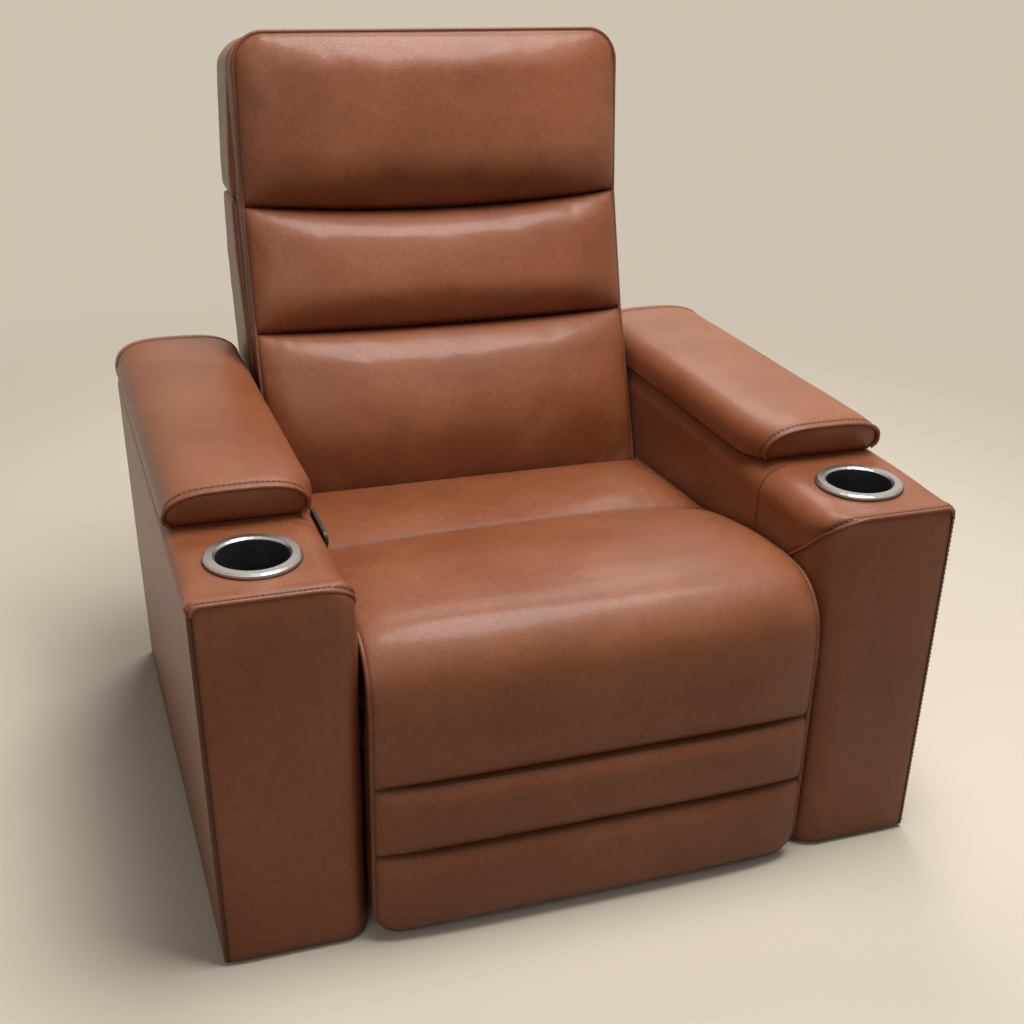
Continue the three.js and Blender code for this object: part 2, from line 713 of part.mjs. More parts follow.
// One fat roll between two seams: y0, z0 is its lower seam and y1, z1 its upper one
function rollOutline(y0, z0, y1, z1, fullness) {
  const length = Math.hypot(y1 - y0, z1 - z0);
  const points = [];
  for (let i = 0; i <= rollSteps; i += 1) {
    const share = i / rollSteps;
    const puff = backRollBulge * fullness * Math.sin(Math.PI * share ** rollLeanShare) ** rollFullnessShare;
    points.push([
      y0 + (y1 - y0) * share - (puff * (z1 - z0)) / length,
      z0 + (z1 - z0) * share + (puff * (y1 - y0)) / length,
    ]);
  }
  return points;
}

const foldMarginDegrees = 2;
const foldOpening = headHingeDepth * Math.tan((headTiltDegrees + foldMarginDegrees) / 2 * radians);
const headHingeY = headCreaseY + headHingeDepth;

function lumbarOutline(fullness) {
  return [
    ...rollOutline(lumbarFootY, lumbarFootHeight, lumbarTopY, lumbarTopHeight - seatedGap, fullness),
    [lumbarTopY + backCushionDepth, lumbarTopHeight - seatedGap],
    [lumbarFootY + backCushionDepth, lumbarFootHeight],
  ];
}

function middleOutline(fullness) {
  const top = headCreaseHeight - foldOpening;
  return [
    ...rollOutline(lumbarTopY, lumbarTopHeight, seamLineY(top), top, fullness),
    [headHingeY, headCreaseHeight - seatedGap],
    [headCreaseY + backCushionDepth, headCreaseHeight - seatedGap],
    [lumbarTopY + backCushionDepth, lumbarTopHeight],
  ];
}

function headLineY(height) {
  return headCreaseY + ((headTopY - headCreaseY) * (height - headCreaseHeight)) / (headTopHeight - headCreaseHeight);
}

function headOutline(fullness, side) {
  const corner = Math.max(0, Math.abs(side) * cushionHalf - (cushionHalf - headCornerRadius));
  const top = headTopHeight - headCornerRadius + Math.sqrt(headCornerRadius ** 2 - corner ** 2);
  const foot = headCreaseHeight + foldOpening;
  return [
    ...rollOutline(headLineY(foot), foot, headLineY(top), top, fullness),
    [headLineY(top) + backCushionDepth, top],
    [headCreaseY + backCushionDepth, headCreaseHeight + seatedGap],
    [headHingeY, headCreaseHeight + seatedGap],
  ];
}

// Slots in the cushions for the ratchet hinge of the headrest
const hingeEar = 3;
const hingeHub = 10;
const hingeSlotRadius = 14;
const hingeSlots = [-1, 1].map((side) => {
  const near = side * (headHingeX - hingeEar * 2);
  const far = side * (headHingeX + hingeEar * 2);
  const x0 = Math.min(near, far);
  const x1 = Math.max(near, far);
  return join(
    rodAcross(x0, x1, headHingeY, headCreaseHeight, hingeSlotRadius),
    block(x0, x1, headHingeY, headCreaseY + backCushionDepth + cutOverrun,
      headCreaseHeight - hingeSlotRadius - backTube, headCreaseHeight + hingeSlotRadius + backTube));
});

addPiece('lumbar_cushion', crossCushion(cushionHalf, lumbarOutline), 'leather');
addPiece('middle_back_cushion', cut(crossCushion(cushionHalf, middleOutline), ...hingeSlots), 'leather');
addPiece('headrest_cushion', cut(crossCushion(cushionHalf, headOutline), ...hingeSlots), 'leather');

// Outside back: an upholstered shell behind the cushions, narrower at its foot where it swings
// down between the side plates
const shellFrontGap = backCushionDepth + seatedGap;
const shellTop = headCreaseHeight - seatedGap;
const shellKneeHeight = lumbarFootHeight - cutOverrun * 2;
const shellFootShare = 0.7;
const shellFootFrontY = shellRearY - (shellRearY - reclineY) * shellFootShare;
const shellWideOutline = outlineShape([
  [seamLineY(shellKneeHeight) + shellFrontGap, shellKneeHeight],
  [shellRearY + ((shellShoulderY - shellRearY) * (shellKneeHeight - shellFootHeight))
    / (headCreaseHeight - shellFootHeight), shellKneeHeight],
  [shellShoulderY, shellTop],
  [headCreaseY + shellFrontGap, shellTop],
  [lumbarTopY + shellFrontGap, lumbarTopHeight],
]);
const shellFootOutline = outlineShape([
  [shellFootFrontY, shellFootHeight],
  [shellRearY, shellFootHeight],
  [shellRearY + ((shellShoulderY - shellRearY) * (shellKneeHeight - shellFootHeight))
    / (headCreaseHeight - shellFootHeight), shellKneeHeight + seatedGap],
  [seamLineY(shellKneeHeight) + shellFrontGap, shellKneeHeight + seatedGap],
]);
const shellHollow = outlineShape([
  [reclineY - backCushionDepth, shellFootHeight + shellThickness],
  [shellRearY - shellThickness, shellFootHeight + shellThickness],
  [shellShoulderY - shellThickness, shellTop - shellThickness],
  [lumbarFootY, shellTop - shellThickness],
]);
const shellFootHalf = plateInner - sheet;
addPiece('outside_back', cut(
  join(acrossX(shellWideOutline, -cushionHalf, cushionHalf), acrossX(shellFootOutline, -shellFootHalf, shellFootHalf)),
  acrossX(shellHollow, -shellFootHalf + shellThickness, shellFootHalf - shellThickness)), 'leather');

// Headrest shell: the upper part of the outside back, with its top corners rounded
const headShellFoot = headCreaseHeight + seatedGap;
const headShellTop = headTopHeight - seatedGap;
const headShellOutline = outlineShape([
  [headCreaseY + shellFrontGap, headShellFoot],
  [shellShoulderY, headShellFoot],
  [rearReach, headTopHeight - headCornerRadius],
  [rearReach - headCornerRadius / 4, headShellTop],
  [headTopY + shellFrontGap, headShellTop],
]);
const headHollow = outlineShape([
  [headCreaseY, headShellFoot + shellThickness],
  [shellShoulderY - shellThickness, headShellFoot + shellThickness],
  [rearReach - shellThickness, headTopHeight - headCornerRadius],
  [rearReach - shellThickness, headShellTop - shellThickness],
  [headTopY, headShellTop - shellThickness],
]);
const headFront = roundedOutline(-cushionHalf, cushionHalf, headCreaseHeight - headTopHeight / 4, headTopHeight,
  headCornerRadius);
addPiece('headrest_shell', cut(
  overlap(acrossX(headShellOutline, -cushionHalf, cushionHalf), alongY(headFront, headCreaseY, rearReach + cutOverrun, 8)),
  acrossX(headHollow, -shellFootHalf + shellThickness * 2, shellFootHalf - shellThickness * 2)), 'leather');

// Back frame: two square uprights on a turning tube at the recline line, a slotted lever under
// it, two cross tubes, and the fixed ears of the headrest hinge
const uprightX = boardHalf - backTube;
function seamBand(z0, z1, depth, thickness) {
  const heights = z0 < lumbarTopHeight && z1 > lumbarTopHeight ? [z0, lumbarTopHeight, z1] : [z0, z1];
  const front = heights.map((z) => [seamLineY(z) + depth, z]);
  return outlineShape([...front, ...front.map(([y, z]) => [y + thickness, z]).reverse()]);
}
const frameDepth = backCushionDepth + seatedGap;
const frameTop = shellTop - shellThickness - seatedGap;
const leverX = -(driveX + sheet + linkBar);
const earBackY = seamLineY(shellTop - shellThickness) + backCushionDepth;
const backParts = [-1, 1].flatMap((side) => {
  const x = side * uprightX;
  const ear = side * (headHingeX + hingeEar);
  return [
    acrossX(seamBand(reclineHeight - torqueRadius / 2, frameTop, frameDepth, backTube),
      x - backTube / 2, x + backTube / 2),
    join(
      block(ear - hingeEar / 2, ear + hingeEar / 2, headHingeY, earBackY,
        headCreaseHeight - hingeHub - backTube, headCreaseHeight + hingeHub / 2),
      rodAcross(ear - hingeEar / 2, ear + hingeEar / 2, headHingeY, headCreaseHeight, hingeHub)),
  ];
});
function backCross(z) {
  return acrossX(seamBand(z, z + backTube, frameDepth, backTube), -uprightX, uprightX);
}
addPiece('back_frame', join(
  ...backParts,
  rodAcross(seatedGap - plateInner, plateInner - seatedGap, reclineY, reclineHeight, torqueRadius),
  rodAcross(-plateOuter - sheet, plateOuter + sheet, reclineY, reclineHeight, stubRadius),
  backCross((lumbarFootHeight + reclineHeight) / 2),
  backCross(frameTop - backTube - seatedGap),
  slottedLever(reclineY, reclineHeight, reclineLeverStartDegrees, reclineDegrees, reclineLever, reclineSlotPlay,
    leverX, leverX + linkBar)), 'blackSteel');

// Elastic webbing across the back frame behind the cushions
const webbingHalf = uprightX - backTube / 2 - seatedGap;
[lumbarFootHeight + webbingHeight, lumbarTopHeight, (lumbarTopHeight + frameTop) / 2].forEach((height, i) => {
  addPiece(`back_webbing_${i + 1}`, acrossX(
    seamBand(height - webbingHeight / 2, height + webbingHeight / 2, frameDepth, webbingThickness),
    -webbingHalf, webbingHalf), 'webbing');
});

// Headrest frame: two posts and a cross tube behind the headrest cushion, with the moving ears
// of the ratchet hinge
const headPostX = headHingeX - hingeEar / 2 - seatedGap;
const headFrameFoot = headShellFoot + shellThickness + seatedGap;
const headFrameTop = headTopHeight - headCornerRadius;
const headBand = outlineShape([
  [headLineY(headFrameFoot) + frameDepth, headFrameFoot],
  [headLineY(headFrameTop) + frameDepth, headFrameTop],
  [headLineY(headFrameTop) + frameDepth + backTube / 2, headFrameTop],
  [headLineY(headFrameFoot) + frameDepth + backTube / 2, headFrameFoot],
]);
const headParts = [-1, 1].flatMap((side) => {
  const x0 = side > 0 ? headPostX - hingeEar : -headPostX;
  const x1 = x0 + hingeEar;
  return [
    acrossX(headBand, x0 - (side > 0 ? backTube - hingeEar : 0), x1 + (side > 0 ? 0 : backTube - hingeEar)),
    rodAcross(x0, x1, headHingeY, headCreaseHeight, hingeHub),
    block(x0, x1, headHingeY, earBackY, headCreaseHeight - hingeHub / 2, headFrameFoot + hingeHub),
    block(x0, x1, headHingeY, headCreaseY + frameDepth + hingeHub, headFrameFoot, headFrameFoot + hingeHub),
  ];
});
const headCross = outlineShape([
  [headLineY(headFrameTop - backTube) + frameDepth, headFrameTop - backTube],
  [headLineY(headFrameTop) + frameDepth, headFrameTop],
  [headLineY(headFrameTop) + frameDepth + backTube / 2, headFrameTop],
  [headLineY(headFrameTop - backTube) + frameDepth + backTube / 2, headFrameTop - backTube],
]);
addPiece('headrest_frame', join(...headParts, acrossX(headCross, -headPostX, headPostX)), 'blackSteel');

// Arms: a plywood carcass inside a padded leather cover
const armOuter = overallWidth / 2;
const coverTop = armTopHeight;
const cupX = armOuter - cupInset;
const cupHoleRadius = cupBoreRadius + cupWall;
const carcassTop = coverTop - coverThickness - seatedGap;
const carcass = cut(
  block(armInner + coverThickness + seatedGap, armOuter - coverThickness - seatedGap,
    frontPanelDepth + seatedGap, armLength - coverThickness - seatedGap, armBase, carcassTop),
  block(armInner + coverThickness + frameBoard, armOuter - coverThickness - frameBoard,
    frontPanelDepth + frameBoard, armLength - coverThickness - frameBoard,
    armBase + frameBoard, carcassTop - frameBoard),
  upright(cupX, cupY, carcassTop - frameBoard - cutOverrun, carcassTop + cutOverrun, cupHoleRadius + seatedGap * 4, 24),
  ...[1, 2, 3].map((step) => rodAcross(armInner, armOuter,
    (armLength * step) / 4, (armBase + carcassTop) / 2 - frameBoard, armWidth / 3, 16)));
addPair('arm_carcass', carcass, 'plywood');

function archOutline(inset) {
  const x0 = armInner + inset;
  const x1 = armOuter - inset;
  const top = coverTop - inset;
  const inner = Math.max(armInnerRadius - inset, panelCorner);
  const outer = Math.max(armOuterRadius - inset, panelCorner);
  const shape = new THREE.Shape();
  shape.moveTo(x0, armBase);
  shape.lineTo(x1, armBase);
  shape.lineTo(x1, top - outer);
  shape.absarc(x1 - outer, top - outer, outer, 0, Math.PI / 2, false);
  shape.lineTo(x0 + inner, top);
  shape.absarc(x0 + inner, top - inner, inner, Math.PI / 2, Math.PI, false);
  shape.closePath();
  return shape;
}

// Plan of an arm: its front corners are rounded, the one beside the seat much more
const planShape = new THREE.Shape();
planShape.moveTo(armInner, armLength);
planShape.lineTo(armInner, armFrontRadius);
planShape.absarc(armInner + armFrontRadius, armFrontRadius, armFrontRadius, Math.PI, Math.PI * 1.5, false);
planShape.lineTo(armOuter - armFrontOuterRadius, 0);
planShape.absarc(armOuter - armFrontOuterRadius, armFrontOuterRadius, armFrontOuterRadius,
  Math.PI * 1.5, turn, false);
planShape.lineTo(armOuter, armLength);
const armPlan = new THREE.ExtrudeGeometry(planShape, {
  depth: coverTop + cutOverrun, bevelEnabled: false, curveSegments: 7,
});

const coverFrontY = frontPanelDepth + seatedGap;
const armCover = cut(
  overlap(alongY(archOutline(0), coverFrontY, armLength, 7), armPlan),
  block(armInner + coverThickness, armOuter - coverThickness, coverFrontY - cutOverrun,
    armLength - coverThickness, armBase - cutOverrun, coverTop - coverThickness),
  upright(cupX, cupY, coverTop - coverThickness - cutOverrun, coverTop + cutOverrun, cupHoleRadius, 40));
addPair('arm_cover', armCover, 'leather');

// Front panel of an arm: its face swells a little between the welted seams round its edge
const panelSwell = 34;
const panelSwellShares = [[1, 0], [0.35, 0.15], [0.1, 0.4], [0, 1]];
const panelRings = [
  [frontPanelDepth, 0],
  ...panelSwellShares.map(([depthShare, insetShare]) => [frontPanelPuff * depthShare, panelSwell * insetShare]),
];
function panelRing([y, inset]) {
  return archOutline(inset).extractPoints(6).shape.map((flat) => {
    const low = flat.y < armBase + inset ? armBase + inset : flat.y;
    const point = new THREE.Vector3(flat.x, y, low);
    point.capU = flat.x;
    point.capV = low;
    return point;
  });
}
addPair('arm_front_panel', overlap(loft(panelRings.map(panelRing)), armPlan), 'leather');

// Arm pad: crowned along the arm, with a thin boxed lip at the front and a rounded rear end
const padSections = 14;
const padPoints = 18;
const padFrontShare = 0.035;
const padRearShare = 0.07;
const padLipShare = 0.85;
const padSquareShare = 0.55;
function padRing(i) {
  const share = (1 - Math.cos((Math.PI * i) / padSections)) / 2;
  const y = armPadFrontY + (armPadRearY - armPadFrontY) * share;
  const frontRise = Math.min(1, share / padFrontShare);
  const rearFall = Math.min(1, (1 - share) / padRearShare);
  const fullness = Math.sqrt(1 - (1 - frontRise) ** 2) * Math.sqrt(1 - (1 - rearFall) ** 2);
  const height = armPadLipHeight * (padLipShare + (1 - padLipShare) * fullness)
    + (armPadHeight - armPadLipHeight) * fullness;
  const half = armWidth / 2 - seatedGap + (armPadOverhang / 2) * fullness;
  const middle = armOuter + armPadOverhang - half;
  const ring = [];
  for (let k = 0; k < padPoints; k += 1) {
    const around = Math.PI * (k / (padPoints - 1));
    const across = Math.cos(around);
    const up = Math.sin(around) ** padSquareShare;
    const point = new THREE.Vector3(middle + Math.sign(across) * Math.abs(across) ** padSquareShare * half, y,
      coverTop + seatedGap + up * height);
    point.capU = point.x;
    point.capV = point.z;
    ring.push(point);
  }
  return ring;
}
addPair('arm_pad', loft(Array.from({ length: padSections + 1 }, (_, i) => padRing(i))), 'leather');

// Cup holders: a black liner hangs by its lip, under a bevelled steel ring
const lipTop = coverTop + seatedGap + cupLipThickness;
const linerOuter = cupBoreRadius + cupWall - seatedGap;
const linerInner = linerOuter - cupWall;
const liner = turned([
  [0, coverTop - cupDepth],
  [linerOuter, coverTop - cupDepth],
  [linerOuter, coverTop + seatedGap],
  [cupLipRadius, coverTop + seatedGap],
  [cupLipRadius, lipTop],
  [linerInner, lipTop],
  [linerInner, coverTop - cupDepth + cupWall],
  [0, coverTop - cupDepth + cupWall],
], cupX, cupY, 32);
addPair('cup_liner', liner, 'blackPlastic');

const ringTop = coverTop + seatedGap + cupRingHeight;
const ring = turned([
  [cupBoreRadius, lipTop + seatedGap],
  [cupLipRadius + seatedGap, lipTop + seatedGap],
  [cupLipRadius + seatedGap, coverTop + seatedGap],
  [cupRingRadius, coverTop + seatedGap],
  [cupRingRadius, ringTop - cupRingBevel],
  [cupRingRadius - cupRingBevel, ringTop],
  [cupBoreRadius + cupRingBevel, ringTop],
  [cupBoreRadius, ringTop - cupRingBevel],
  [cupBoreRadius, lipTop + seatedGap],
], cupX, cupY, 32);
addPair('cup_ring', ring, 'brushedSteel');

// Switch panel let on to the inner face of the left arm: a bezel and four spring-back buttons
const bezelThickness = 4;
const bezelFloor = 1;
const bezelX = -armInner + seatedGap;
const buttonPlaces = Array.from({ length: buttonCount }, (_, i) => (
  switchY + (i - (buttonCount - 1) / 2) * buttonPitch));
const bezelOutline = roundedOutline(switchY - switchLength / 2, switchY + switchLength / 2,
  switchHeight - switchWidth / 2, switchHeight + switchWidth / 2, switchWidth / 4);
addPiece('switch_bezel', cut(
  acrossX(bezelOutline, bezelX, bezelX + bezelThickness),
  ...buttonPlaces.map((y) => rodAcross(bezelX + bezelFloor, bezelX + bezelThickness + cutOverrun, y, switchHeight,
    buttonRadius + seatedGap, 16))), 'blackPlastic');
buttonPlaces.forEach((y, i) => {
  addPiece(`switch_button_${i + 1}`, rodAcross(bezelX + bezelFloor + buttonTravel + seatedGap,
    bezelX + bezelThickness + buttonProud, y, switchHeight, buttonRadius, 16), 'rubber');
});

// Rear kick panel between the arms, with the power inlet let into it
const inletX = armInner / 2;
const inletHeight = shellFootHeight / 2;
const inletRadius = 9;
const inletDepth = 16;
const inletBore = 3;
const panelFront = armLength - kickPanelThickness;
addPiece('rear_kick_panel', cut(
  block(-tubeReach, tubeReach, panelFront, armLength, kickPanelFoot, kickPanelTop),
  rodFrontToBack(inletX, inletHeight, panelFront - cutOverrun, armLength + cutOverrun, inletRadius + seatedGap)),
'leather');
addPiece('power_inlet', cut(
  rodFrontToBack(inletX, inletHeight, armLength - inletDepth, armLength, inletRadius),
  rodFrontToBack(inletX, inletHeight, armLength - inletDepth / 2, armLength + cutOverrun, inletBore, 16)),
'blackPlastic');

export default chair;
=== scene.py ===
# Cinema recliner seat in saddle brown leather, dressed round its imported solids.
# Metres; X to the viewer's right, Y from front to back, Z up from the floor.
import math

import bpy
import numpy as np
from mathutils import Matrix, Vector, noise


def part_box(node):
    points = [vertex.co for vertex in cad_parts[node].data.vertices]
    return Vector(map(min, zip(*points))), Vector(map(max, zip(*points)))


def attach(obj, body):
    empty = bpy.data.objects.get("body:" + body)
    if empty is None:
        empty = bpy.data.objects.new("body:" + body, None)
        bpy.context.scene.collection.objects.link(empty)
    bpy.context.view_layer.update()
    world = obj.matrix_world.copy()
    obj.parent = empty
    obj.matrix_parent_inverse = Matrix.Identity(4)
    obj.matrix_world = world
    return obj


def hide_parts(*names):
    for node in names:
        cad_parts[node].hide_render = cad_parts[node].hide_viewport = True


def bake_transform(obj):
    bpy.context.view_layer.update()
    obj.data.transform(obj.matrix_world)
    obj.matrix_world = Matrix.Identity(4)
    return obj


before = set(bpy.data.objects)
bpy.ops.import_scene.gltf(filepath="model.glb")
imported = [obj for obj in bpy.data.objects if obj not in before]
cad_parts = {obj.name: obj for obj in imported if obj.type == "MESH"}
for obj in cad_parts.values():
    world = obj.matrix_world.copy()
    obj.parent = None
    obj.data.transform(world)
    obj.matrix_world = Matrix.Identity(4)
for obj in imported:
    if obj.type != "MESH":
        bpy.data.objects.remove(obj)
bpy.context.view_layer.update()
bpy.ops.object.select_all(action="DESELECT")

# Camera: at the photograph's place, a step to the left of the chair and above its headrest,
# turned towards it and down. Its picture is lifted a little, as the photograph is framed.
camera_place = Vector((-0.6413, -1.9068, 1.2645))
camera_yaw = 0.34307
camera_pitch = 0.44369
camera_roll = 0.025
ahead = Vector((
    math.sin(camera_yaw) * math.cos(camera_pitch),
    math.cos(camera_yaw) * math.cos(camera_pitch),
    -math.sin(camera_pitch)))
level_right = Vector((math.cos(camera_yaw), -math.sin(camera_yaw), 0))
level_up = level_right.cross(ahead)
camera_right = level_right * math.cos(camera_roll) + level_up * math.sin(camera_roll)
camera_up = level_up * math.cos(camera_roll) - level_right * math.sin(camera_roll)
bpy.ops.object.camera_add(location=camera_place)
camera = bpy.context.object
camera.name = "camera"
camera.matrix_world = Matrix((
    (camera_right.x, camera_up.x, -ahead.x, camera_place.x),
    (camera_right.y, camera_up.y, -ahead.y, camera_place.y),
    (camera_right.z, camera_up.z, -ahead.z, camera_place.z),
    (0, 0, 0, 1)))
camera.data.lens = 49.94
camera.data.sensor_width = 36
camera.data.shift_y = 0.0391
bpy.context.scene.camera = camera


# Leather: semi-aniline cowhide, saddle brown, drum dyed. A fine pebble grain, soft clouding of the
# dye, and painted shade that darkens the hide in the folds and along the seams, where it is also
# duller.
class Wire:
    """A socket of a material, with the sums that its colours and bumps are made of."""

    def __init__(self, tree, socket=None):
        self.tree = tree
        self.socket = socket

    def node(self, kind, feeds=None, out=0, stops=None, **settings):
        made = self.tree.nodes.new("ShaderNode" + kind)
        for name, value in settings.items():
            setattr(made, name, value)
        if stops:
            for element, (place, shade) in zip(made.color_ramp.elements, (stops[0], stops[-1])):
                element.position, element.color = place, (*shade, 1)
            for place, shade in stops[1:-1]:
                made.color_ramp.elements.new(place).color = (*shade, 1)
        for name, value in (feeds or {}).items():
            if isinstance(value, Wire):
                self.tree.links.new(value.socket, made.inputs[name])
            else:
                made.inputs[name].default_value = value
        return Wire(self.tree, made.outputs[out])

    def sum_of(self, operation, *values):
        return self.node("Math", dict(enumerate(values)), operation=operation)

    def __add__(self, other):
        return self.sum_of("ADD", self, other)

    def __radd__(self, other):
        return self.sum_of("ADD", other, self)

    def __sub__(self, other):
        return self.sum_of("SUBTRACT", self, other)

    def __rsub__(self, other):
        return self.sum_of("SUBTRACT", other, self)

    def __mul__(self, other):
        return self.sum_of("MULTIPLY", self, other)

    def __rmul__(self, other):
        return self.sum_of("MULTIPLY", other, self)

    def between(self, low, high):
        """A colour that runs from low to high as this value runs from 0 to 1."""
        return self.node("Mix", {0: self, 6: low, 7: high}, out=2, data_type="RGBA")

    def tint(self, share, shade):
        """This colour, turned towards another one by a share."""
        return share.between(self, shade)


def new_finish(name):
    """An empty material, a wire to build it with, and the place of a point on the object."""
    finish = bpy.data.materials.new(name)
    finish.use_nodes = True
    finish.node_tree.nodes.clear()
    wire = Wire(finish.node_tree)
    return finish, wire, wire.node("TexCoord", out="Object")


def close_finish(wire, bump, bump_depth, bump_share=1.0, **sockets):
    """Joins the sums of a material to its shader, with bumps of a depth in metres."""
    surface = wire.node("BsdfPrincipled", {
        name.replace("_", " "): value for name, value in sockets.items()})
    normal = wire.node("Bump", {"Height": bump, "Distance": bump_depth, "Strength": bump_share})
    wire.tree.links.new(normal.socket, surface.socket.node.inputs["Normal"])
    output = wire.tree.nodes.new("ShaderNodeOutputMaterial")
    wire.tree.links.new(surface.socket, output.inputs["Surface"])


hide_brown = (0.210, 0.062, 0.022, 1)
hide_light = (0.265, 0.088, 0.036, 1)
hide_deep = (0.085, 0.021, 0.009, 1)
# Painted shade: the colour that the hide is turned to in the folds and along the seams.
shade_colour_in_creases = (0.045, 0.012, 0.006, 1)
leather, wire, place = new_finish("leather")
clouds = wire.node("TexNoise", {"Vector": place, "Scale": 7.0, "Detail": 3.0, "Roughness": 0.55})
mottle = wire.node("TexNoise", {"Vector": place, "Scale": 85.0, "Detail": 3.0, "Roughness": 0.6})
crease_shade = wire.node("Attribute", out="Fac", attribute_name="crease_shade")
pebble = wire.node("TexVoronoi", {"Vector": place, "Scale": 620.0, "Randomness": 0.9},
                   feature="DISTANCE_TO_EDGE")
pores = wire.node("TexNoise", {"Vector": place, "Scale": 1500.0, "Detail": 2.0})
creasing = wire.node("TexNoise", {"Vector": place, "Scale": 34.0, "Detail": 5.0, "Roughness": 0.6,
                                  "Distortion": 1.2})
patches = wire.node("MapRange", {"Value": clouds, "From Min": 0.35, "From Max": 0.68})
brown = patches.between(hide_brown, hide_light)
brown = brown.tint((0.62 - mottle) * 0.6, hide_deep)
# Painted shade: the hide turns darker towards the seams and creases, where shade falls.
brown = brown.tint(crease_shade * 0.8, shade_colour_in_creases)
close_finish(
    wire,
    bump=pebble * 1.1 + pores * 0.25 + creasing * 0.55 + mottle * 0.35,
    bump_depth=0.0009,
    bump_share=0.55,
    Base_Color=brown,
    Roughness=0.32 + mottle * 0.14 + crease_shade * 0.2,
    IOR=1.34,
    Coat_Weight=0.18,
    Coat_Roughness=0.22)


# Seat front and leg rest: one skin of leather from the cross seam over the knees down to the foot
# of the leg rest, over foam, with two channels sewn across the shins.
mm = 0.001
arm_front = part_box("arm_front_panel_right")[0].y
seat_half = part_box("seat_cushion_rear")[1].x / mm
knee_y = 66
knee_z = 357


def smooth_path(points, spacing):
    """Points at even steps along a curve through the given ones."""
    points = np.array(points, float)
    ends = np.vstack([2 * points[0] - points[1], points, 2 * points[-1] - points[-2]])
    curve = []
    for a, b, c, d in zip(ends, ends[1:], ends[2:], ends[3:]):
        t = np.linspace(0, 1, 24, endpoint=False)[:, None]
        curve.append(0.5 * (2 * b + (c - a) * t + (2 * a - 5 * b + 4 * c - d) * t ** 2
                            + (3 * b - a - 3 * c + d) * t ** 3))
    curve = np.vstack(curve + [points[-1:]])
    way = np.concatenate([[0], np.cumsum(np.linalg.norm(np.diff(curve, axis=0), axis=1))])
    steps = max(2, round(way[-1] / spacing))
    even = np.linspace(0, way[-1], steps + 1)
    return np.column_stack([np.interp(even, way, curve[:, k]) for k in range(curve.shape[1])])


def wander(at, scale, seed=0.0):
    """Soft uneven heights, from about minus one to one, at places in metres."""
    heights = [noise.noise(Vector((x * scale, y * scale, z * scale + seed)))
               for x, y, z in at.reshape(-1, 3)]
    return np.array(heights).reshape(at.shape[:-1])


def quarter(way, width):
    """How a stuffed edge rises from its seam: steeply at first, then level."""
    return np.sqrt(1 - (1 - np.clip(way / width, 0, 1)) ** 2)


def raised(at, lift, middle):
    """A table of points, each moved along its surface's normal, away from a place inside it."""
    across = np.cross(np.gradient(at, axis=0), np.gradient(at, axis=1))
    across /= np.maximum(np.linalg.norm(across, axis=2), 1e-12)[..., None]
    if np.sum(across * (at - middle)) < 0:
        across = -across
    return at + across * lift[..., None]


def pick(piece):
    """Makes a piece the only one that the next operators act on."""
    bpy.ops.object.select_all(action="DESELECT")
    piece.select_set(True)
    bpy.context.view_layer.objects.active = piece


weld = 0.00002
crisp_edge = math.radians(42)


def sheet(name, at, marks, sealed=True):
    """A welded leather skin over a table of points, rows by columns. Sealed, its ends are closed.
    Marks are measures that the skin carries at its points."""
    rows, columns = at.shape[:2]
    bpy.ops.object.select_all(action="DESELECT")
    bpy.ops.mesh.primitive_grid_add(x_subdivisions=columns - 1, y_subdivisions=rows - 1, size=2)
    skin = bpy.context.object
    skin.name = name
    flat = np.empty(rows * columns * 3)
    skin.data.vertices.foreach_get("co", flat)
    flat = (flat.reshape(-1, 3) + 1) / 2
    column = np.rint(flat[:, 0] * (columns - 1)).astype(int)
    row = np.rint(flat[:, 1] * (rows - 1)).astype(int)
    skin.data.vertices.foreach_set("co", at[row, column].ravel())
    for mark, values in marks.items():
        skin.data.attributes.new(mark, "FLOAT", "POINT").data.foreach_set(
            "value", values[row, column].astype(np.float32))
    bpy.ops.object.mode_set(mode="EDIT")
    bpy.ops.mesh.select_all(action="SELECT")
    bpy.ops.mesh.remove_doubles(threshold=weld)
    if sealed:
        bpy.ops.mesh.fill_holes(sides=0)
    bpy.ops.mesh.select_all(action="SELECT")
    bpy.ops.mesh.normals_make_consistent(inside=False)
    bpy.ops.object.mode_set(mode="OBJECT")
    bpy.ops.object.shade_smooth_by_angle(angle=crisp_edge)
    skin.data.materials.append(leather)
    return skin


cloth_steps = 20
cloth_rounds = 30
pressure = 4.0


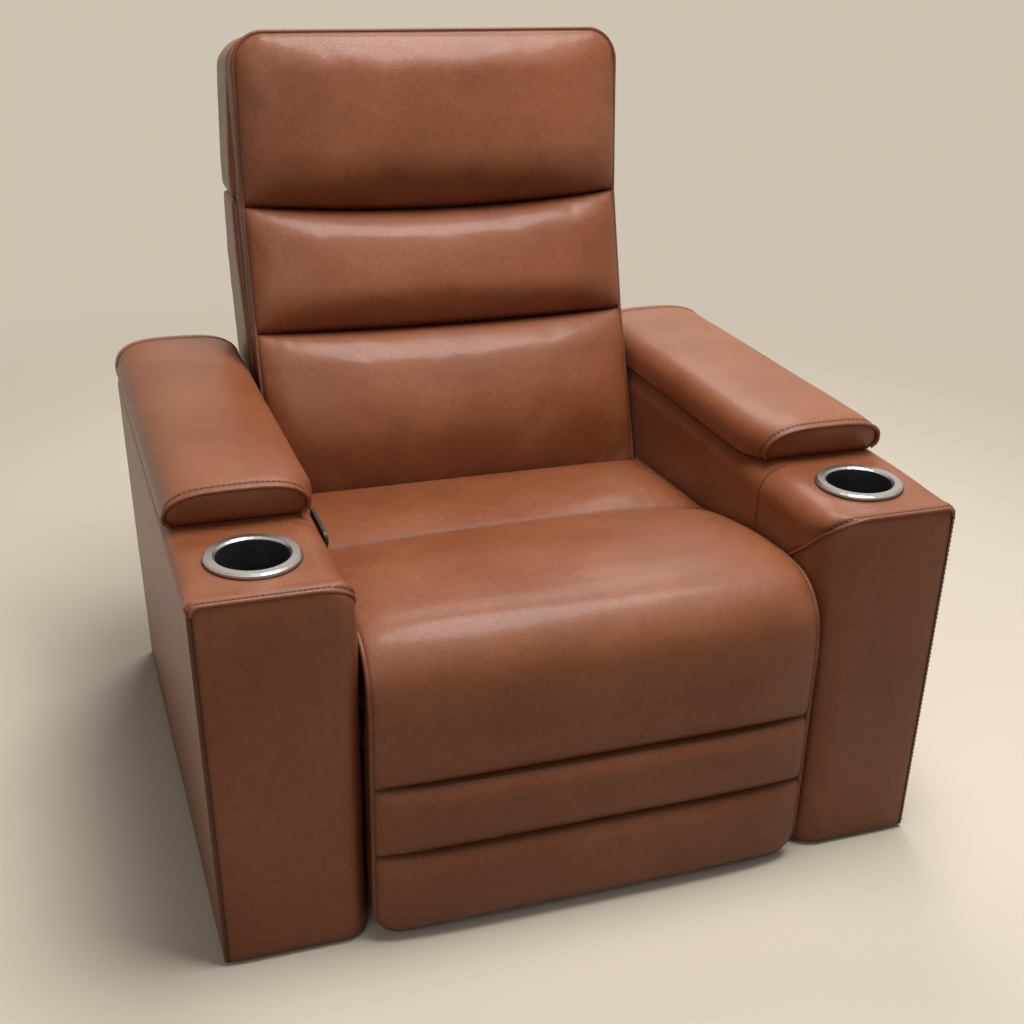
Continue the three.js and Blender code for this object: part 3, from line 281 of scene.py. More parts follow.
def swell(skin, cap):
    """Lets the leather between its seams fill under pressure, each point moving by cap metres at
    most. The movement is evened out between neighbours, so that no ripple is left."""
    held = np.empty(len(skin.data.vertices), np.float32)
    skin.data.attributes["held"].data.foreach_get("value", held)
    group = skin.vertex_groups.new(name="held")
    group.add([int(i) for i in np.flatnonzero(held > 0.5)], 1.0, "REPLACE")
    before = np.empty(len(held) * 3)
    skin.data.vertices.foreach_get("co", before)
    cloth = skin.modifiers.new("cloth", "CLOTH")
    cloth.settings.vertex_group_mass = "held"
    cloth.settings.quality = 6
    cloth.settings.tension_stiffness = 22
    cloth.settings.compression_stiffness = 22
    cloth.settings.shear_stiffness = 12
    cloth.settings.bending_stiffness = 6
    cloth.settings.shrink_min = -0.006
    cloth.settings.use_pressure = True
    cloth.settings.uniform_pressure_force = pressure
    cloth.settings.effector_weights.gravity = 0
    cloth.collision_settings.use_collision = False
    for step in range(cloth_steps):
        bpy.context.scene.frame_set(step + 1)
    puffed = skin.evaluated_get(bpy.context.evaluated_depsgraph_get()).data
    after = np.empty(len(held) * 3)
    puffed.vertices.foreach_get("co", after)
    skin.modifiers.remove(cloth)
    bpy.context.scene.frame_set(1)
    move = (after - before).reshape(-1, 3)
    length = np.linalg.norm(move, axis=1)
    move *= (cap * np.tanh(length / cap) / np.maximum(length, 1e-9))[:, None]
    links = np.empty(len(skin.data.edges) * 2, int)
    skin.data.edges.foreach_get("vertices", links)
    here, there = links.reshape(-1, 2).T
    neighbours = np.bincount(links, minlength=len(move))[:, None]
    calm = move.copy()
    for _ in range(cloth_rounds):
        near = np.zeros_like(calm)
        np.add.at(near, here, calm[there])
        np.add.at(near, there, calm[here])
        calm = 0.5 * calm + 0.5 * near / neighbours
        calm[held > 0.5] = 0
    move = 0.82 * calm + 0.18 * move
    skin.data.vertices.foreach_set("co", (before.reshape(-1, 3) + move).ravel())
    skin.vertex_groups.clear()
    skin.data.update()


class Section:
    """A length of side outline between two seams. Full is how far it stands out in the middle of
    the chair; each seam has the width over which the stuffing rises and how much of it stays."""

    seam_reach = 50
    calming = 8

    def __init__(self, path, full, start, end, start_stays=0.0, end_stays=0.0):
        self.path = path
        way = np.concatenate([[0], np.cumsum(np.linalg.norm(np.diff(path, axis=0), axis=1))])
        rise = start_stays + (1 - start_stays) * quarter(way, start)
        rise *= end_stays + (1 - end_stays) * quarter(way[-1] - way, end)
        stuffing = np.interp(way / way[-1], np.linspace(0, 1, len(full)), full)
        reach = min(self.calming, len(way) // 4)
        even = np.ones(2 * reach + 1) / (2 * reach + 1)
        self.fill = np.convolve(np.pad(stuffing, reach, mode="edge"), even, mode="valid") * rise
        self.to_seam = np.minimum(way, way[-1] - way)
        self.domed = (start_stays * np.exp(-way / self.seam_reach)
                      + end_stays * np.exp(-(way[-1] - way) / self.seam_reach))
        along = np.gradient(path, axis=0)
        self.out = np.column_stack([-along[:, 1], along[:, 0]])
        self.out /= np.linalg.norm(along, axis=1)[:, None]
        if np.sum(self.out[:, 1] - self.out[:, 0]) < 0:
            self.out = -self.out


far_from_seam = 60
side_tuck = 2


def cushion(name, columns, sections, closing, half, shape=None, sharp=5.0, waves=0.6):
    """A padded piece right across the seat, skinned over its side outline; closing is the way
    back behind it. Sharp is how late it falls away towards its sides, waves how uneven it is."""
    joined = {key: np.concatenate([getattr(part, key)[min(number, 1):]
                                   for number, part in enumerate(sections)])
              for key in ("path", "fill", "to_seam", "domed", "out")}
    count = len(joined["fill"])
    back = np.vstack([closing, joined["path"][:1]])
    rows = np.vstack([joined["path"], back])
    plain = np.zeros(len(back))
    fill, to_seam, domed = (np.concatenate([joined[key], plain + rest])[:, None]
                            for key, rest in (
                                ("fill", 0), ("to_seam", far_from_seam), ("domed", 0)))
    out = np.vstack([joined["out"], np.zeros_like(back)])
    front = (np.arange(len(rows)) < count)[:, None]
    side = np.linspace(-1, 1, columns + 1)[None, :]
    side = 0.6 * side + 0.4 * np.sin(side * math.pi / 2)
    edge = np.abs(side)
    base = np.repeat(rows[:, None, :], columns + 1, axis=1)
    if shape is not None:
        base = shape(base, np.repeat(edge, len(rows), axis=0))
    full = (1 - domed) * np.sqrt(1 - edge ** sharp) + domed * (1 - edge ** 2.2)
    spot = np.dstack([np.repeat(side * 0.3, len(rows), axis=0), base * mm])
    inside = np.sqrt(1 - edge ** 8) * np.clip(to_seam / 30, 0, 1) * front
    uneven = wander(spot, 5.0) * waves + wander(spot, 16.0, 4.0) * waves * 0.35
    lift = fill * full + uneven * inside
    tucks = np.array([noise.noise(Vector((x * 70, 0.0, 7.0))) for x in side[0] * half * mm])
    near_end = 0.25 + 0.75 * np.clip((edge - 0.72) / 0.2, 0, 1)
    by_seam = np.exp(-(to_seam - 5).clip(0) / 14) * (to_seam > 1) * front
    lift = lift + tucks[None, :] * near_end * 1.5 * by_seam
    base = base + out[:, None, :] * lift[..., None]
    x = np.repeat(side * half, len(rows), axis=0)
    at = np.dstack([x, base[..., 0] + arm_front / mm, base[..., 1]]) * mm
    to_side = (1 - edge) * half
    # Painted shade mask: darker along the seams and towards the sides of the cushion.
    crease_shade = np.exp(-(to_seam / 5.0) ** 2) * front + 0.7 * np.exp(-(to_side / 5) ** 2)
    held = (~front | (to_seam < 1.5) | (to_side < side_tuck)).astype(float)
    return sheet(name, at, {"crease_shade": np.clip(crease_shade, 0, 1), "held": held})


upper_channel = 235
lower_channel = 133
foot_height = 11
foot_corner = 40
knee_radius = 72
leg_face = knee_y - knee_radius - 2


def round_foot(base, edge):
    """The foot of the leg rest, with its two lower corners rounded."""
    corner = np.clip(edge * seat_half - (seat_half - foot_corner), 0, foot_corner)
    foot = foot_height + foot_corner - np.sqrt(foot_corner ** 2 - corner ** 2)
    drop = np.clip((lower_channel - base[..., 1]) / (lower_channel - foot_height), 0, 1)
    base[..., 1] += (foot - foot_height) * drop
    return base


def round_knee(degrees):
    """A point of the bend over the knees, turned up and back from the shins."""
    turn = math.radians(degrees)
    return knee_y + knee_radius * math.cos(turn), knee_z + knee_radius * math.sin(turn)


seam_y = 353
seam_z = 390
seat_low = 336
seat_step = 5.0
channel_step = 3.4
seat_columns = 110
seat_top = smooth_path(
    [(seam_y, seam_z), (300, 403), (240, 415), (180, 424.5), (125, 429), (92, 430),
     round_knee(101), round_knee(122), round_knee(144), round_knee(166),
     (leg_face - 1, 330), (leg_face, 280), (leg_face, upper_channel)], seat_step)
channel_a = smooth_path([(leg_face, upper_channel), (leg_face, lower_channel)], channel_step)
channel_b = smooth_path([(leg_face, lower_channel), (leg_face, foot_height)], channel_step)
under = smooth_path(
    [(30, foot_height), (38, 60), (36, 250), (14, 330), (22, 392), (66, 408), (112, 380),
     (140, 338), (240, seat_low), (seam_y, seat_low)], 16)
seat_front = cushion(
    "seat_front_and_leg_leather", seat_columns,
    [Section(seat_top, (20, 20, 20, 17, 15, 16, 19), 40, 34, start_stays=0.6),
     Section(channel_a, (21, 21, 21), 30, 30),
     Section(channel_b, (21, 21, 19), 30, 26)],
    under, seat_half, round_foot)
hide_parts("seat_cushion_front", "leg_cushion")
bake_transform(seat_front)

# Seat rear: a second cushion behind the cross seam, higher in its middle, running back under the
# lumbar roll.
seat_end = 598
seat_back_top = smooth_path(
    [(seam_y, seam_z), (420, 388), (520, 383), (seat_end, 379)], seat_step)
seat_box = np.array([(seat_end, 360), (seat_end, seat_low), (520, seat_low), (430, seat_low),
                     (seam_y, seat_low), (seam_y, 362)], float)
seat_rear = cushion(
    "seat_rear_leather", seat_columns,
    [Section(seat_back_top, (20, 20, 17, 6), 34, 20, start_stays=0.6)],
    seat_box, seat_half)
swell(seat_rear, 0.005)
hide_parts("seat_cushion_rear")
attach(seat_rear, "root")


# Seat piping: a cord wrapped in a strip of the same hide, sewn into the seam round the front
# cushion and along both sides of the rear one.
def tube(name, runs, radius, body="root", finish=leather, roundness=3, painted_shade=0.0):
    """Round cord or thread along lines of points, darkened by painted shade as if it lay deep in a
    fold; the shade value sets how much.
    """
    line = bpy.data.curves.new(name, "CURVE")
    line.dimensions = "3D"
    line.bevel_depth = radius * mm
    line.bevel_resolution = roundness
    line.use_fill_caps = True
    for points in runs:
        spline = line.splines.new("POLY")
        spline.points.add(len(points) - 1)
        spline.points.foreach_set("co", np.column_stack([points, np.ones(len(points))]).ravel())
    piece = bpy.data.objects.new(name, line)
    bpy.context.collection.objects.link(piece)
    pick(piece)
    bpy.ops.object.convert(target="MESH")
    piece = bpy.context.object
    piece.data.materials.clear()
    piece.data.materials.append(finish)
    piece.data.attributes.new("crease_shade", "FLOAT", "POINT").data.foreach_set(
        "value", np.full(len(piece.data.vertices), painted_shade, np.float32))
    bpy.ops.object.shade_smooth()
    if body:
        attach(piece, body)
    return piece


def space(x, y, z):
    """Points in metres from sizes in millimetres, with y counted from the front of the arms."""
    return np.column_stack(np.broadcast_arrays(x, arm_front / mm + np.asarray(y), z)) * mm


pipe = 3.3
edge_x = seat_half - 1
mirrored = np.array([-1, 1, 1])
side_line = np.vstack([seat_top, channel_a[1:], channel_b[1:]])
side_line = side_line[side_line[:, 1] > foot_height + foot_corner]
turn_angles = np.linspace(0, math.pi / 2, 12)
corner_x = seat_half - foot_corner + foot_corner * np.cos(turn_angles)
corner_z = foot_height + foot_corner - foot_corner * np.sin(turn_angles)
bottom_x = np.linspace(seat_half - foot_corner, -(seat_half - foot_corner), 60)[1:-1]
half_run = space(edge_x, side_line[:, 0] - 1, side_line[:, 1] + 0.5)
corner_run = space(corner_x - 1, leg_face, corner_z)
bottom_run = space(bottom_x, leg_face, foot_height)
seat_run = np.vstack([
    half_run, corner_run, bottom_run, corner_run[::-1] * mirrored, half_run[::-1] * mirrored])
# The seat piping is darkened with painted shade, as if it lay deep in its seams.
seat_piping = tube("seat_piping", [seat_run], pipe, body=None, painted_shade=0.35)
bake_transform(seat_piping)
rear_run = space(edge_x, seat_back_top[:, 0], seat_back_top[:, 1] + 0.5)
tube("seat_rear_piping", [rear_run, rear_run * mirrored], pipe, painted_shade=0.45)


# Back: three fat rolls of leather over fibre and foam, a lumbar roll, a middle roll and a head
# cushion, with a deep sewn crease between them and piping round the whole front.
back_low = 355
lower_crease = 613
upper_crease = 799
head_top = 1049
head_top_y = 787
head_shoulder = 900
head_corner = 48
lumbar_line = smooth_path([(606, back_low), (656, 484), (707, lower_crease)], 4.6)
middle_line = smooth_path([(707, lower_crease), (735, 706), (762, upper_crease)], 4.4)
head_line = smooth_path([(762, upper_crease), (775, 920), (head_top_y, head_top)], 4.6)


def sagging(base, edge):
    """The two creases hang a little in the middle of the chair."""
    height = base[..., 1].copy()
    for crease, hang in ((lower_crease, 6), (upper_crease, 16)):
        base[..., 1] -= hang * (1 - edge ** 2) * np.exp(-((height - crease) / 80) ** 2)
    return base


def round_head(base, edge):
    """The head cushion, with its two upper corners rounded."""
    corner = np.clip(edge * seat_half - (seat_half - head_corner), 0, head_corner)
    fall = head_corner - np.sqrt(head_corner ** 2 - corner ** 2)
    rise = (base[..., 1] - head_shoulder) / (head_top - head_shoulder)
    base[..., 1] -= fall * np.clip(rise, 0, 1)
    return sagging(base, edge)


back_rolls = (
    ("lumbar_leather", "backrest", "lumbar_cushion",
     Section(lumbar_line, (0, 14, 42, 53, 51, 47, 43, 38), 20, 58),
     (664, back_low), (765, lower_crease - 1), sagging),
    ("middle_back_leather", "backrest", "middle_back_cushion",
     Section(middle_line, (48, 50, 46, 42, 40), 64, 52),
     (765, lower_crease + 1), (820, upper_crease - 1), sagging),
    ("head_leather", "headrest", "headrest_cushion",
     Section(head_line, (48, 51, 48, 43, 37, 33), 84, 58),
     (820, upper_crease + 1), (840, 1036), round_head),
)
for name, body, node, section, rear_low, rear_high, shape in back_rolls:
    behind = smooth_path([rear_high, rear_low], 24)
    roll = cushion(name, 112, [section], behind, seat_half, shape, sharp=3.4, waves=0.9)
    swell(roll, 0.006)
    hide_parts(node)
    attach(roll, body)

lower_line = np.vstack([lumbar_line, middle_line[1:]])
pipe_ahead = 1.5
lower_run = space(edge_x, lower_line[:, 0] - pipe_ahead, lower_line[:, 1])
# The back and head piping is darkened with painted shade, as if it lay deep in its seams.
tube("back_piping", [lower_run, lower_run * mirrored], pipe, "backrest", painted_shade=0.5)
head_side = head_line[head_line[:, 1] < head_top - head_corner]
over_x = seat_half - head_corner + head_corner * np.cos(turn_angles)
over_z = head_top - head_corner + head_corner * np.sin(turn_angles)
over_y = np.interp(over_z, head_line[:, 1], head_line[:, 0])
half_run = np.vstack([space(edge_x, head_side[:, 0] - pipe_ahead, head_side[:, 1]),
                      space(over_x - 1, over_y - pipe_ahead, over_z)])
across_x = np.linspace(seat_half - head_corner, -(seat_half - head_corner), 60)[1:-1]
top_run = space(across_x, head_top_y - pipe_ahead, head_top)
head_run = np.vstack([half_run, top_run, half_run[::-1] * mirrored])
tube("head_piping", [head_run], pipe, "headrest", painted_shade=0.5)


# Outside back, headrest shell and rear panel: hide drawn tight over board, with its corners
# rounded by the wadding under it.
def wrapped_copy(name, node, body, voxel, rounds, shape=None):
    """A skin over a solid: remeshed at the size of a voxel, evened out in rounds, then shaped."""
    piece = bpy.data.objects.new(name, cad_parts[node].data.copy())
    bpy.context.collection.objects.link(piece)
    pick(piece)
    bpy.ops.object.mode_set(mode="EDIT")
    bpy.ops.mesh.select_all(action="SELECT")
    bpy.ops.mesh.remove_doubles(threshold=0.00005)
    bpy.ops.object.mode_set(mode="OBJECT")
    remesh = piece.modifiers.new("skin", "REMESH")
    remesh.mode = "VOXEL"
    remesh.voxel_size = voxel
    bpy.ops.object.modifier_apply(modifier="skin")
    smooth = piece.modifiers.new("round", "SMOOTH")
    smooth.iterations = rounds
    smooth.factor = 0.5
    bpy.ops.object.modifier_apply(modifier="round")
    at = np.empty(len(piece.data.vertices) * 3)
    piece.data.vertices.foreach_get("co", at)
    normals = np.empty(len(at))
    piece.data.vertices.foreach_get("normal", normals)
    at = at.reshape(-1, 3)
    uneven = wander(at, 6.0) * 0.0008 + wander(at, 19.0, 3.0) * 0.0003
    at = at + normals.reshape(-1, 3) * uneven[:, None]
    if shape is not None:
        at = shape(at)
    piece.data.vertices.foreach_set("co", at.ravel())
    piece.data.attributes.new("crease_shade", "FLOAT", "POINT")
    piece.data.materials.clear()
    piece.data.materials.append(leather)
    bpy.ops.object.shade_smooth()
    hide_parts(node)
    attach(piece, body)
    return piece


def full_sides(at):
    """Stuffed side walls that stay upright while the front slopes back, and a top that falls away
    behind the piping."""
    x, y, z = at.T
    behind = np.clip((y - np.interp(z, head_side_z, head_side_y) - 0.015) / 0.055, 0, 1)
    low = np.clip((1.0 - z) / 0.16, 0, 1) * np.clip((z - 0.45) / 0.25, 0, 1)
    out = np.clip((np.abs(x) - 0.22) / 0.05, 0, 1)
    at[:, 0] += np.sign(x) * side_fullness * low * behind * (2 - behind) * out
    at[:, 2] -= top_fall * np.clip(y - 0.318, 0, 1) * np.clip((z - 0.93) / 0.1, 0, 1)
    return at


side_fullness = 0.008
top_fall = 0.15
full_line = np.vstack([lower_line, head_line[1:]]) * mm
head_side_y, head_side_z = full_line[:, 0] + arm_front, full_line[:, 1]
wrapped_copy("outside_back_leather", "outside_back", "backrest", 0.0065, 6, full_sides)
wrapped_copy("headrest_shell_leather", "headrest_shell", "headrest", 0.0055, 7, full_sides)
wrapped_copy("rear_panel_leather", "rear_kick_panel", "root", 0.0045, 2)


# Arm: a padded box sewn from a long cover that runs over its top and both sides, and a front
# panel that wraps round the corner beside the seat. Inner and outer are the sides of each arm.
cover_low, cover_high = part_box("arm_cover_right")
arm_inner = cover_low.x / mm
arm_wide = cover_high.x / mm - arm_inner
arm_foot = cover_low.z / mm
arm_top = 519
arm_long = 860
arm_rear_round = 10
arm_round = 38
outer_plan_round = 5
front_ease = 75
widening_length = 170
panel_end = 126
hide_thickness = 3
pad_front = 200
pad_low = 222
pad_lean = 22
pad_overhang = 12
pad_base = arm_top + 0.6
pad_lip_height = 52
pad_lip_half = 93
pad_rise_length = 45
pad_rear_round = 62
pad_stitch_row = 4
skirt_drop = 70
gasket_radius = 59.2

# Thread: bonded polyester, much darker than the hide, twisted in three strands
thread, wire, place = new_finish("thread")
twist = wire.node("TexNoise", {"Vector": place, "Scale": 900.0, "Detail": 1.0})
close_finish(
    wire,
    bump=twist,
    bump_depth=0.0003,
    Base_Color=twist.between((0.030, 0.010, 0.006, 1), (0.060, 0.022, 0.012, 1)),
    Roughness=0.5 + twist * 0.1)

# Moulded black plastic, with a fine spark texture and a soft sheen
black_plastic, wire, place = new_finish("black_plastic")
spark = wire.node("TexNoise", {"Vector": place, "Scale": 1400.0, "Detail": 2.0})
cast = wire.node("TexNoise", {"Vector": place, "Scale": 30.0, "Detail": 2.0})
close_finish(
    wire,
    bump=spark,
    bump_depth=0.0002,
    bump_share=0.5,
    Base_Color=cast.between((0.010, 0.010, 0.011, 1), (0.018, 0.018, 0.019, 1)),
    Roughness=0.38 + spark * 0.2)


class Arm:
    """The outer surface of one arm. A row is told by a number: 0 to 1 climbs the inner wall, 1 to
    2 turns over the inner corner, 2 to 3 crosses the top, 3 to 4 turns over the outer corner and
    4 to 5 goes down the outer wall."""

    def __init__(self, sign, plan_round, front_round, flare, widening, seam_slope, seam_start):
        self.sign = sign
        self.plan_round, self.front_round = plan_round, front_round
        self.flare, self.widening = flare, widening
        self.seam_slope, self.seam_start = seam_slope, seam_start

    def spot(self, row, y):
        """Place across the arm and height of a row, at a distance from the front."""
        row, y = np.broadcast_arrays(np.asarray(row, float), np.asarray(y, float))
        ahead = np.clip(self.plan_round - y, 0, self.plan_round)
        u_in = self.plan_round - np.sqrt(self.plan_round ** 2 - ahead ** 2)
        ahead = np.clip(outer_plan_round - y, 0, outer_plan_round)
        u_out = arm_wide - outer_plan_round + np.sqrt(outer_plan_round ** 2 - ahead ** 2)
        back = np.clip(y / front_ease, 0, 1)
        ease = back ** 2 * (3 - 2 * back)
        r_in = self.front_round + (arm_round - self.front_round) * ease
        r_out = 11 + 5 * ease
        share = row - np.clip(np.floor(row), 0, 4)
        a = share * math.pi / 2
        zones = [row < 1, row < 2, row < 3, row < 4, row >= 4]
        u = np.select(zones, [
            u_in,
            u_in + r_in * (1 - np.cos(a)),
            u_in + r_in + (u_out - r_out - u_in - r_in) * share,
            u_out - r_out * (1 - np.sin(a)),
            u_out])
        z = np.select(zones, [
            arm_foot + (arm_top - r_in - arm_foot) * share,
            arm_top - r_in * (1 - np.sin(a)),
            arm_top + 0 * a,
            arm_top - r_out * (1 - np.cos(a)),
            arm_top - r_out - (arm_top - r_out - arm_foot) * share])
        return u, z

    def seam(self, row):
        """How far back the front seam lies on each row."""
        y = np.zeros(len(row))
        for _ in range(6):
            drop = arm_top - self.spot(row, y)[1]
            fall = self.seam_slope * drop - self.seam_start * (1 - np.exp(-drop / 8))
            y = 0.5 * y + 0.5 * np.where(row < 2, np.clip(fall, 0, panel_end), 0)
        return y

    def place(self, u, y, z):
        """Points of this arm in metres, leaning out towards its top."""
        wider = np.sin(np.clip(y / widening_length, 0, 1) * math.pi / 2)
        flare = self.flare + self.widening * wider
        x = arm_inner + u + flare * np.clip(u / arm_wide, 0, 1) * np.clip(z / arm_top, 0, 1)
        return np.stack(np.broadcast_arrays(self.sign * x, y + arm_front / mm, z), axis=-1) * mm

    def middle(self, y):
        """A place inside the arm."""
        return self.place(np.array(arm_wide / 2), np.array(y), np.array(260))


def stitch_runs(line, up, length=4.0, pitch=6.9):
    """Short lengths of thread along a line of points, each dipping into the hide at its ends."""
    way = np.concatenate([[0], np.cumsum(np.linalg.norm(np.diff(line, axis=0), axis=1))]) / mm
    runs = []
    for start in np.arange(pitch / 2, way[-1] - length, pitch):
        marks = start + length * np.array([0, 0.2, 0.5, 0.8, 1])
        spots = np.column_stack([np.interp(marks, way, line[:, k]) for k in range(3)])
        lift = np.column_stack([np.interp(marks, way, up[:, k]) for k in range(3)])
        runs.append(spots + lift * np.array([-0.8, 0.0, 0.3, 0.0, -0.8])[:, None] * mm)
    return runs


def give_wall(piece):
    """Gives a skin the thickness of hide, inwards."""
    wall = piece.modifiers.new("wall", "SOLIDIFY")
    wall.thickness = hide_thickness * mm
    wall.offset = -1
    bpy.ops.object.modifier_apply(modifier="wall")


arms = (
    ("right", Arm(sign=1, plan_round=46, front_round=14, flare=3, widening=11,
                  seam_slope=1.18, seam_start=6), 848),
    ("left", Arm(sign=-1, plan_round=28, front_round=20, flare=13, widening=0,
                 seam_slope=0.95, seam_start=4), 878),
)
climb = np.concatenate([np.linspace(0, 0.74, 24), np.linspace(0.74, 1, 27)[1:]])
cover_rows = np.concatenate([climb, np.linspace(1, 2, 20)[1:], np.linspace(2, 3, 26)[1:],
                             np.linspace(3, 4, 9)[1:], np.linspace(4, 5, 36)[1:]])
cover_end = arm_long - arm_rear_round
cover_steps = np.concatenate([
    [0, 1.2, 2.4, 3.7, 5.0, 6.5, 8.0, 9.8, 12, 15], np.linspace(19, 172, 30),
    np.linspace(176, 216, 16), np.linspace(224, cover_end, 66)])
stitch_back = 6.5
stitch_column = 5
stitched_from = 0.72
stitch_radius = 1.35
edge_stitch_radius = 0.6
cup_hole = 47
cup_dent = 60

for tag, arm, pad_rear in arms:
    # Cover
    seam = arm.seam(cover_rows)
    y = seam[:, None] + cover_steps[None, :] * (cover_end - seam[:, None]) / cover_end
    rows = np.repeat(cover_rows[:, None], len(cover_steps), axis=1)
    u, z = arm.spot(rows, y)
    turned_rear = np.radians([30, 60, 90])
    rear_u, rear_z = u[:, -1:], z[:, -1:]
    shrink = np.concatenate([1 - 0.08 * (1 - np.cos(turned_rear)), [0.7, 0.45, 0.2, 0.0]])
    rear_y = np.concatenate([
        cover_end + arm_rear_round * np.sin(turned_rear), np.full(4, arm_long)])
    u = np.hstack([u, arm_wide / 2 + (rear_u - arm_wide / 2) * shrink])
    z = np.hstack([z, arm_foot + (rear_z - arm_foot) * shrink])
    y = np.hstack([y, np.repeat(rear_y[None, :], len(cover_rows), axis=0)])
    at = arm.place(u, y, z)
    behind = y - seam[:, None]
    onto_top = ((cover_rows > 1) & (cover_rows < 4))[:, None]
    ring_low, ring_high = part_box("cup_ring_" + tag)
    cup = (ring_low + ring_high) / 2
    cup_u = (abs(cup.x) / mm - arm_inner) / (1 + (arm.flare + 0.85 * arm.widening) / arm_wide)
    cup_away = np.hypot(u - cup_u, y - (cup.y - arm_front) / mm)
    cross_seam = np.exp(-((y - pad_front + 3) / 2.2) ** 2) * (cover_rows < 2)[:, None]
    stitched = ((cover_rows > stitched_from) & (cover_rows < 4))[:, None]
    stitch_dip = np.exp(-((behind - stitch_back) / 1.8) ** 2) * stitched
    lift = -1.3 * cross_seam - 1.1 * stitch_dip
    near_cup = np.exp(-((cup_away - cup_dent) / 7).clip(0) ** 2) * (cup_away < 90)
    lift = lift - 1.4 * near_cup * onto_top
    uneven = wander(at, 7.0, 2.0) * 0.7 + wander(at, 21.0, 5.0) * 0.25
    lift = lift + uneven * np.clip(behind / 30, 0, 1)
    lift = lift + 1.6 * np.exp(-((behind - 14) / 9) ** 2) * onto_top
    normal = raised(at, np.ones(at.shape[:2]), arm.middle(430)) - at
    at = at + normal * (lift * mm)[..., None]
    tuck = at[:, :1] - normal[:, :1] * 4 * mm
    tuck[..., 1] += 3 * mm
    # Painted shade mask: darker along the front seam, the cross seam and the stitching.
    crease_shade = np.clip(cross_seam + 0.8 * stitch_dip + np.exp(-(behind / 2.5) ** 2), 0, 1)
    cover = sheet("arm_cover_leather_" + tag, np.hstack([tuck, at]),
                  {"crease_shade": np.hstack([crease_shade[:, :1], crease_shade])}, sealed=False)
    give_wall(cover)
    bpy.ops.mesh.primitive_cylinder_add(vertices=72, radius=cup_hole * mm, depth=0.06,
                                        location=(cup.x, cup.y, arm_top * mm))
    drill = bpy.context.object
    hole = cover.modifiers.new("hole", "BOOLEAN")
    hole.object = drill
    bpy.context.view_layer.objects.active = cover
    bpy.ops.object.modifier_apply(modifier="hole")
    bpy.data.objects.remove(drill)
    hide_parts("arm_cover_" + tag)
    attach(cover, "root")
    sewn = np.flatnonzero((cover_rows > stitched_from) & (cover_rows <= 4))
    stitches = stitch_runs(at[sewn, stitch_column], normal[sewn, stitch_column])
    tube("arm_stitches_" + tag, stitches, stitch_radius, finish=thread, roundness=1)
    edge_rows = np.flatnonzero(cover_rows >= 4)
    edge_stitches = stitch_runs(at[edge_rows, 2], normal[edge_rows, 2])
    tube("arm_edge_stitches_" + tag, edge_stitches, edge_stitch_radius, finish=thread, roundness=1)

    # Front panel
    top = np.flatnonzero((seam < panel_end - 0.5) & (cover_rows <= 4))
    down = np.concatenate([[0, 0.004, 0.01, 0.018, 0.028], np.linspace(0.04, 1, 48)])
    edge_u, edge_z = arm.spot(cover_rows[top], seam[top])
    panel_z = edge_z[:, None] + (arm_foot - edge_z[:, None]) * down[None, :]
    panel_y = np.repeat(seam[top][:, None], len(down), axis=1)
    wall_u = arm.spot(np.zeros(len(top)), seam[top])[0][:, None]
    r_here = arm.spot(np.full(len(top), 2.0), seam[top])[0][:, None] - wall_u
    over = np.clip(panel_z - (arm_top - r_here), 0, r_here)
    rounding = r_here - np.sqrt(r_here ** 2 - over ** 2)
    panel_u = np.where((cover_rows[top] < 2)[:, None], wall_u + rounding, edge_u[:, None])
    face = arm.place(panel_u, panel_y, panel_z)
    to_top = edge_z[:, None] - panel_z
    to_outer = arm_wide - outer_plan_round - panel_u
    puff = quarter(to_top, 55) * quarter(panel_z - arm_foot + 6, 30) * quarter(to_outer + 0.5, 40)
    uneven = wander(face, 6.0, 9.0) * 0.8 + wander(face, 18.0, 3.0) * 0.25
    normal = raised(face, np.ones(face.shape[:2]), arm.middle(120)) - face
    face = face + normal * ((-2.0 + 5.0 * puff + uneven * puff) * mm)[..., None]
    # Painted shade mask: darker just under the welt at the top and along the outer edge.
    crease_shade = np.clip(np.exp(-(to_top / 3.5) ** 2) + np.exp(-(to_outer / 3.0) ** 2), 0, 1)
    tuck = face[:, :1] - normal[:, :1] * 6 * mm
    face, crease_shade = np.hstack([tuck, face]), np.hstack([crease_shade[:, :1], crease_shade])
    under_edge = face[-1:] + np.array([arm.sign * 4, 4, 0]) * mm
    face, crease_shade = np.vstack([face, under_edge]), np.vstack([crease_shade, crease_shade[-1:]])
    panel = sheet("arm_front_leather_" + tag, face, {"crease_shade": crease_shade}, sealed=False)
    give_wall(panel)
    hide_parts("arm_front_panel_" + tag)
    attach(panel, "root")
    edge_line = arm.place(edge_u, seam[top] + 0.8, edge_z - 1.2)
    tube("arm_welt_" + tag, [edge_line], 2.9)

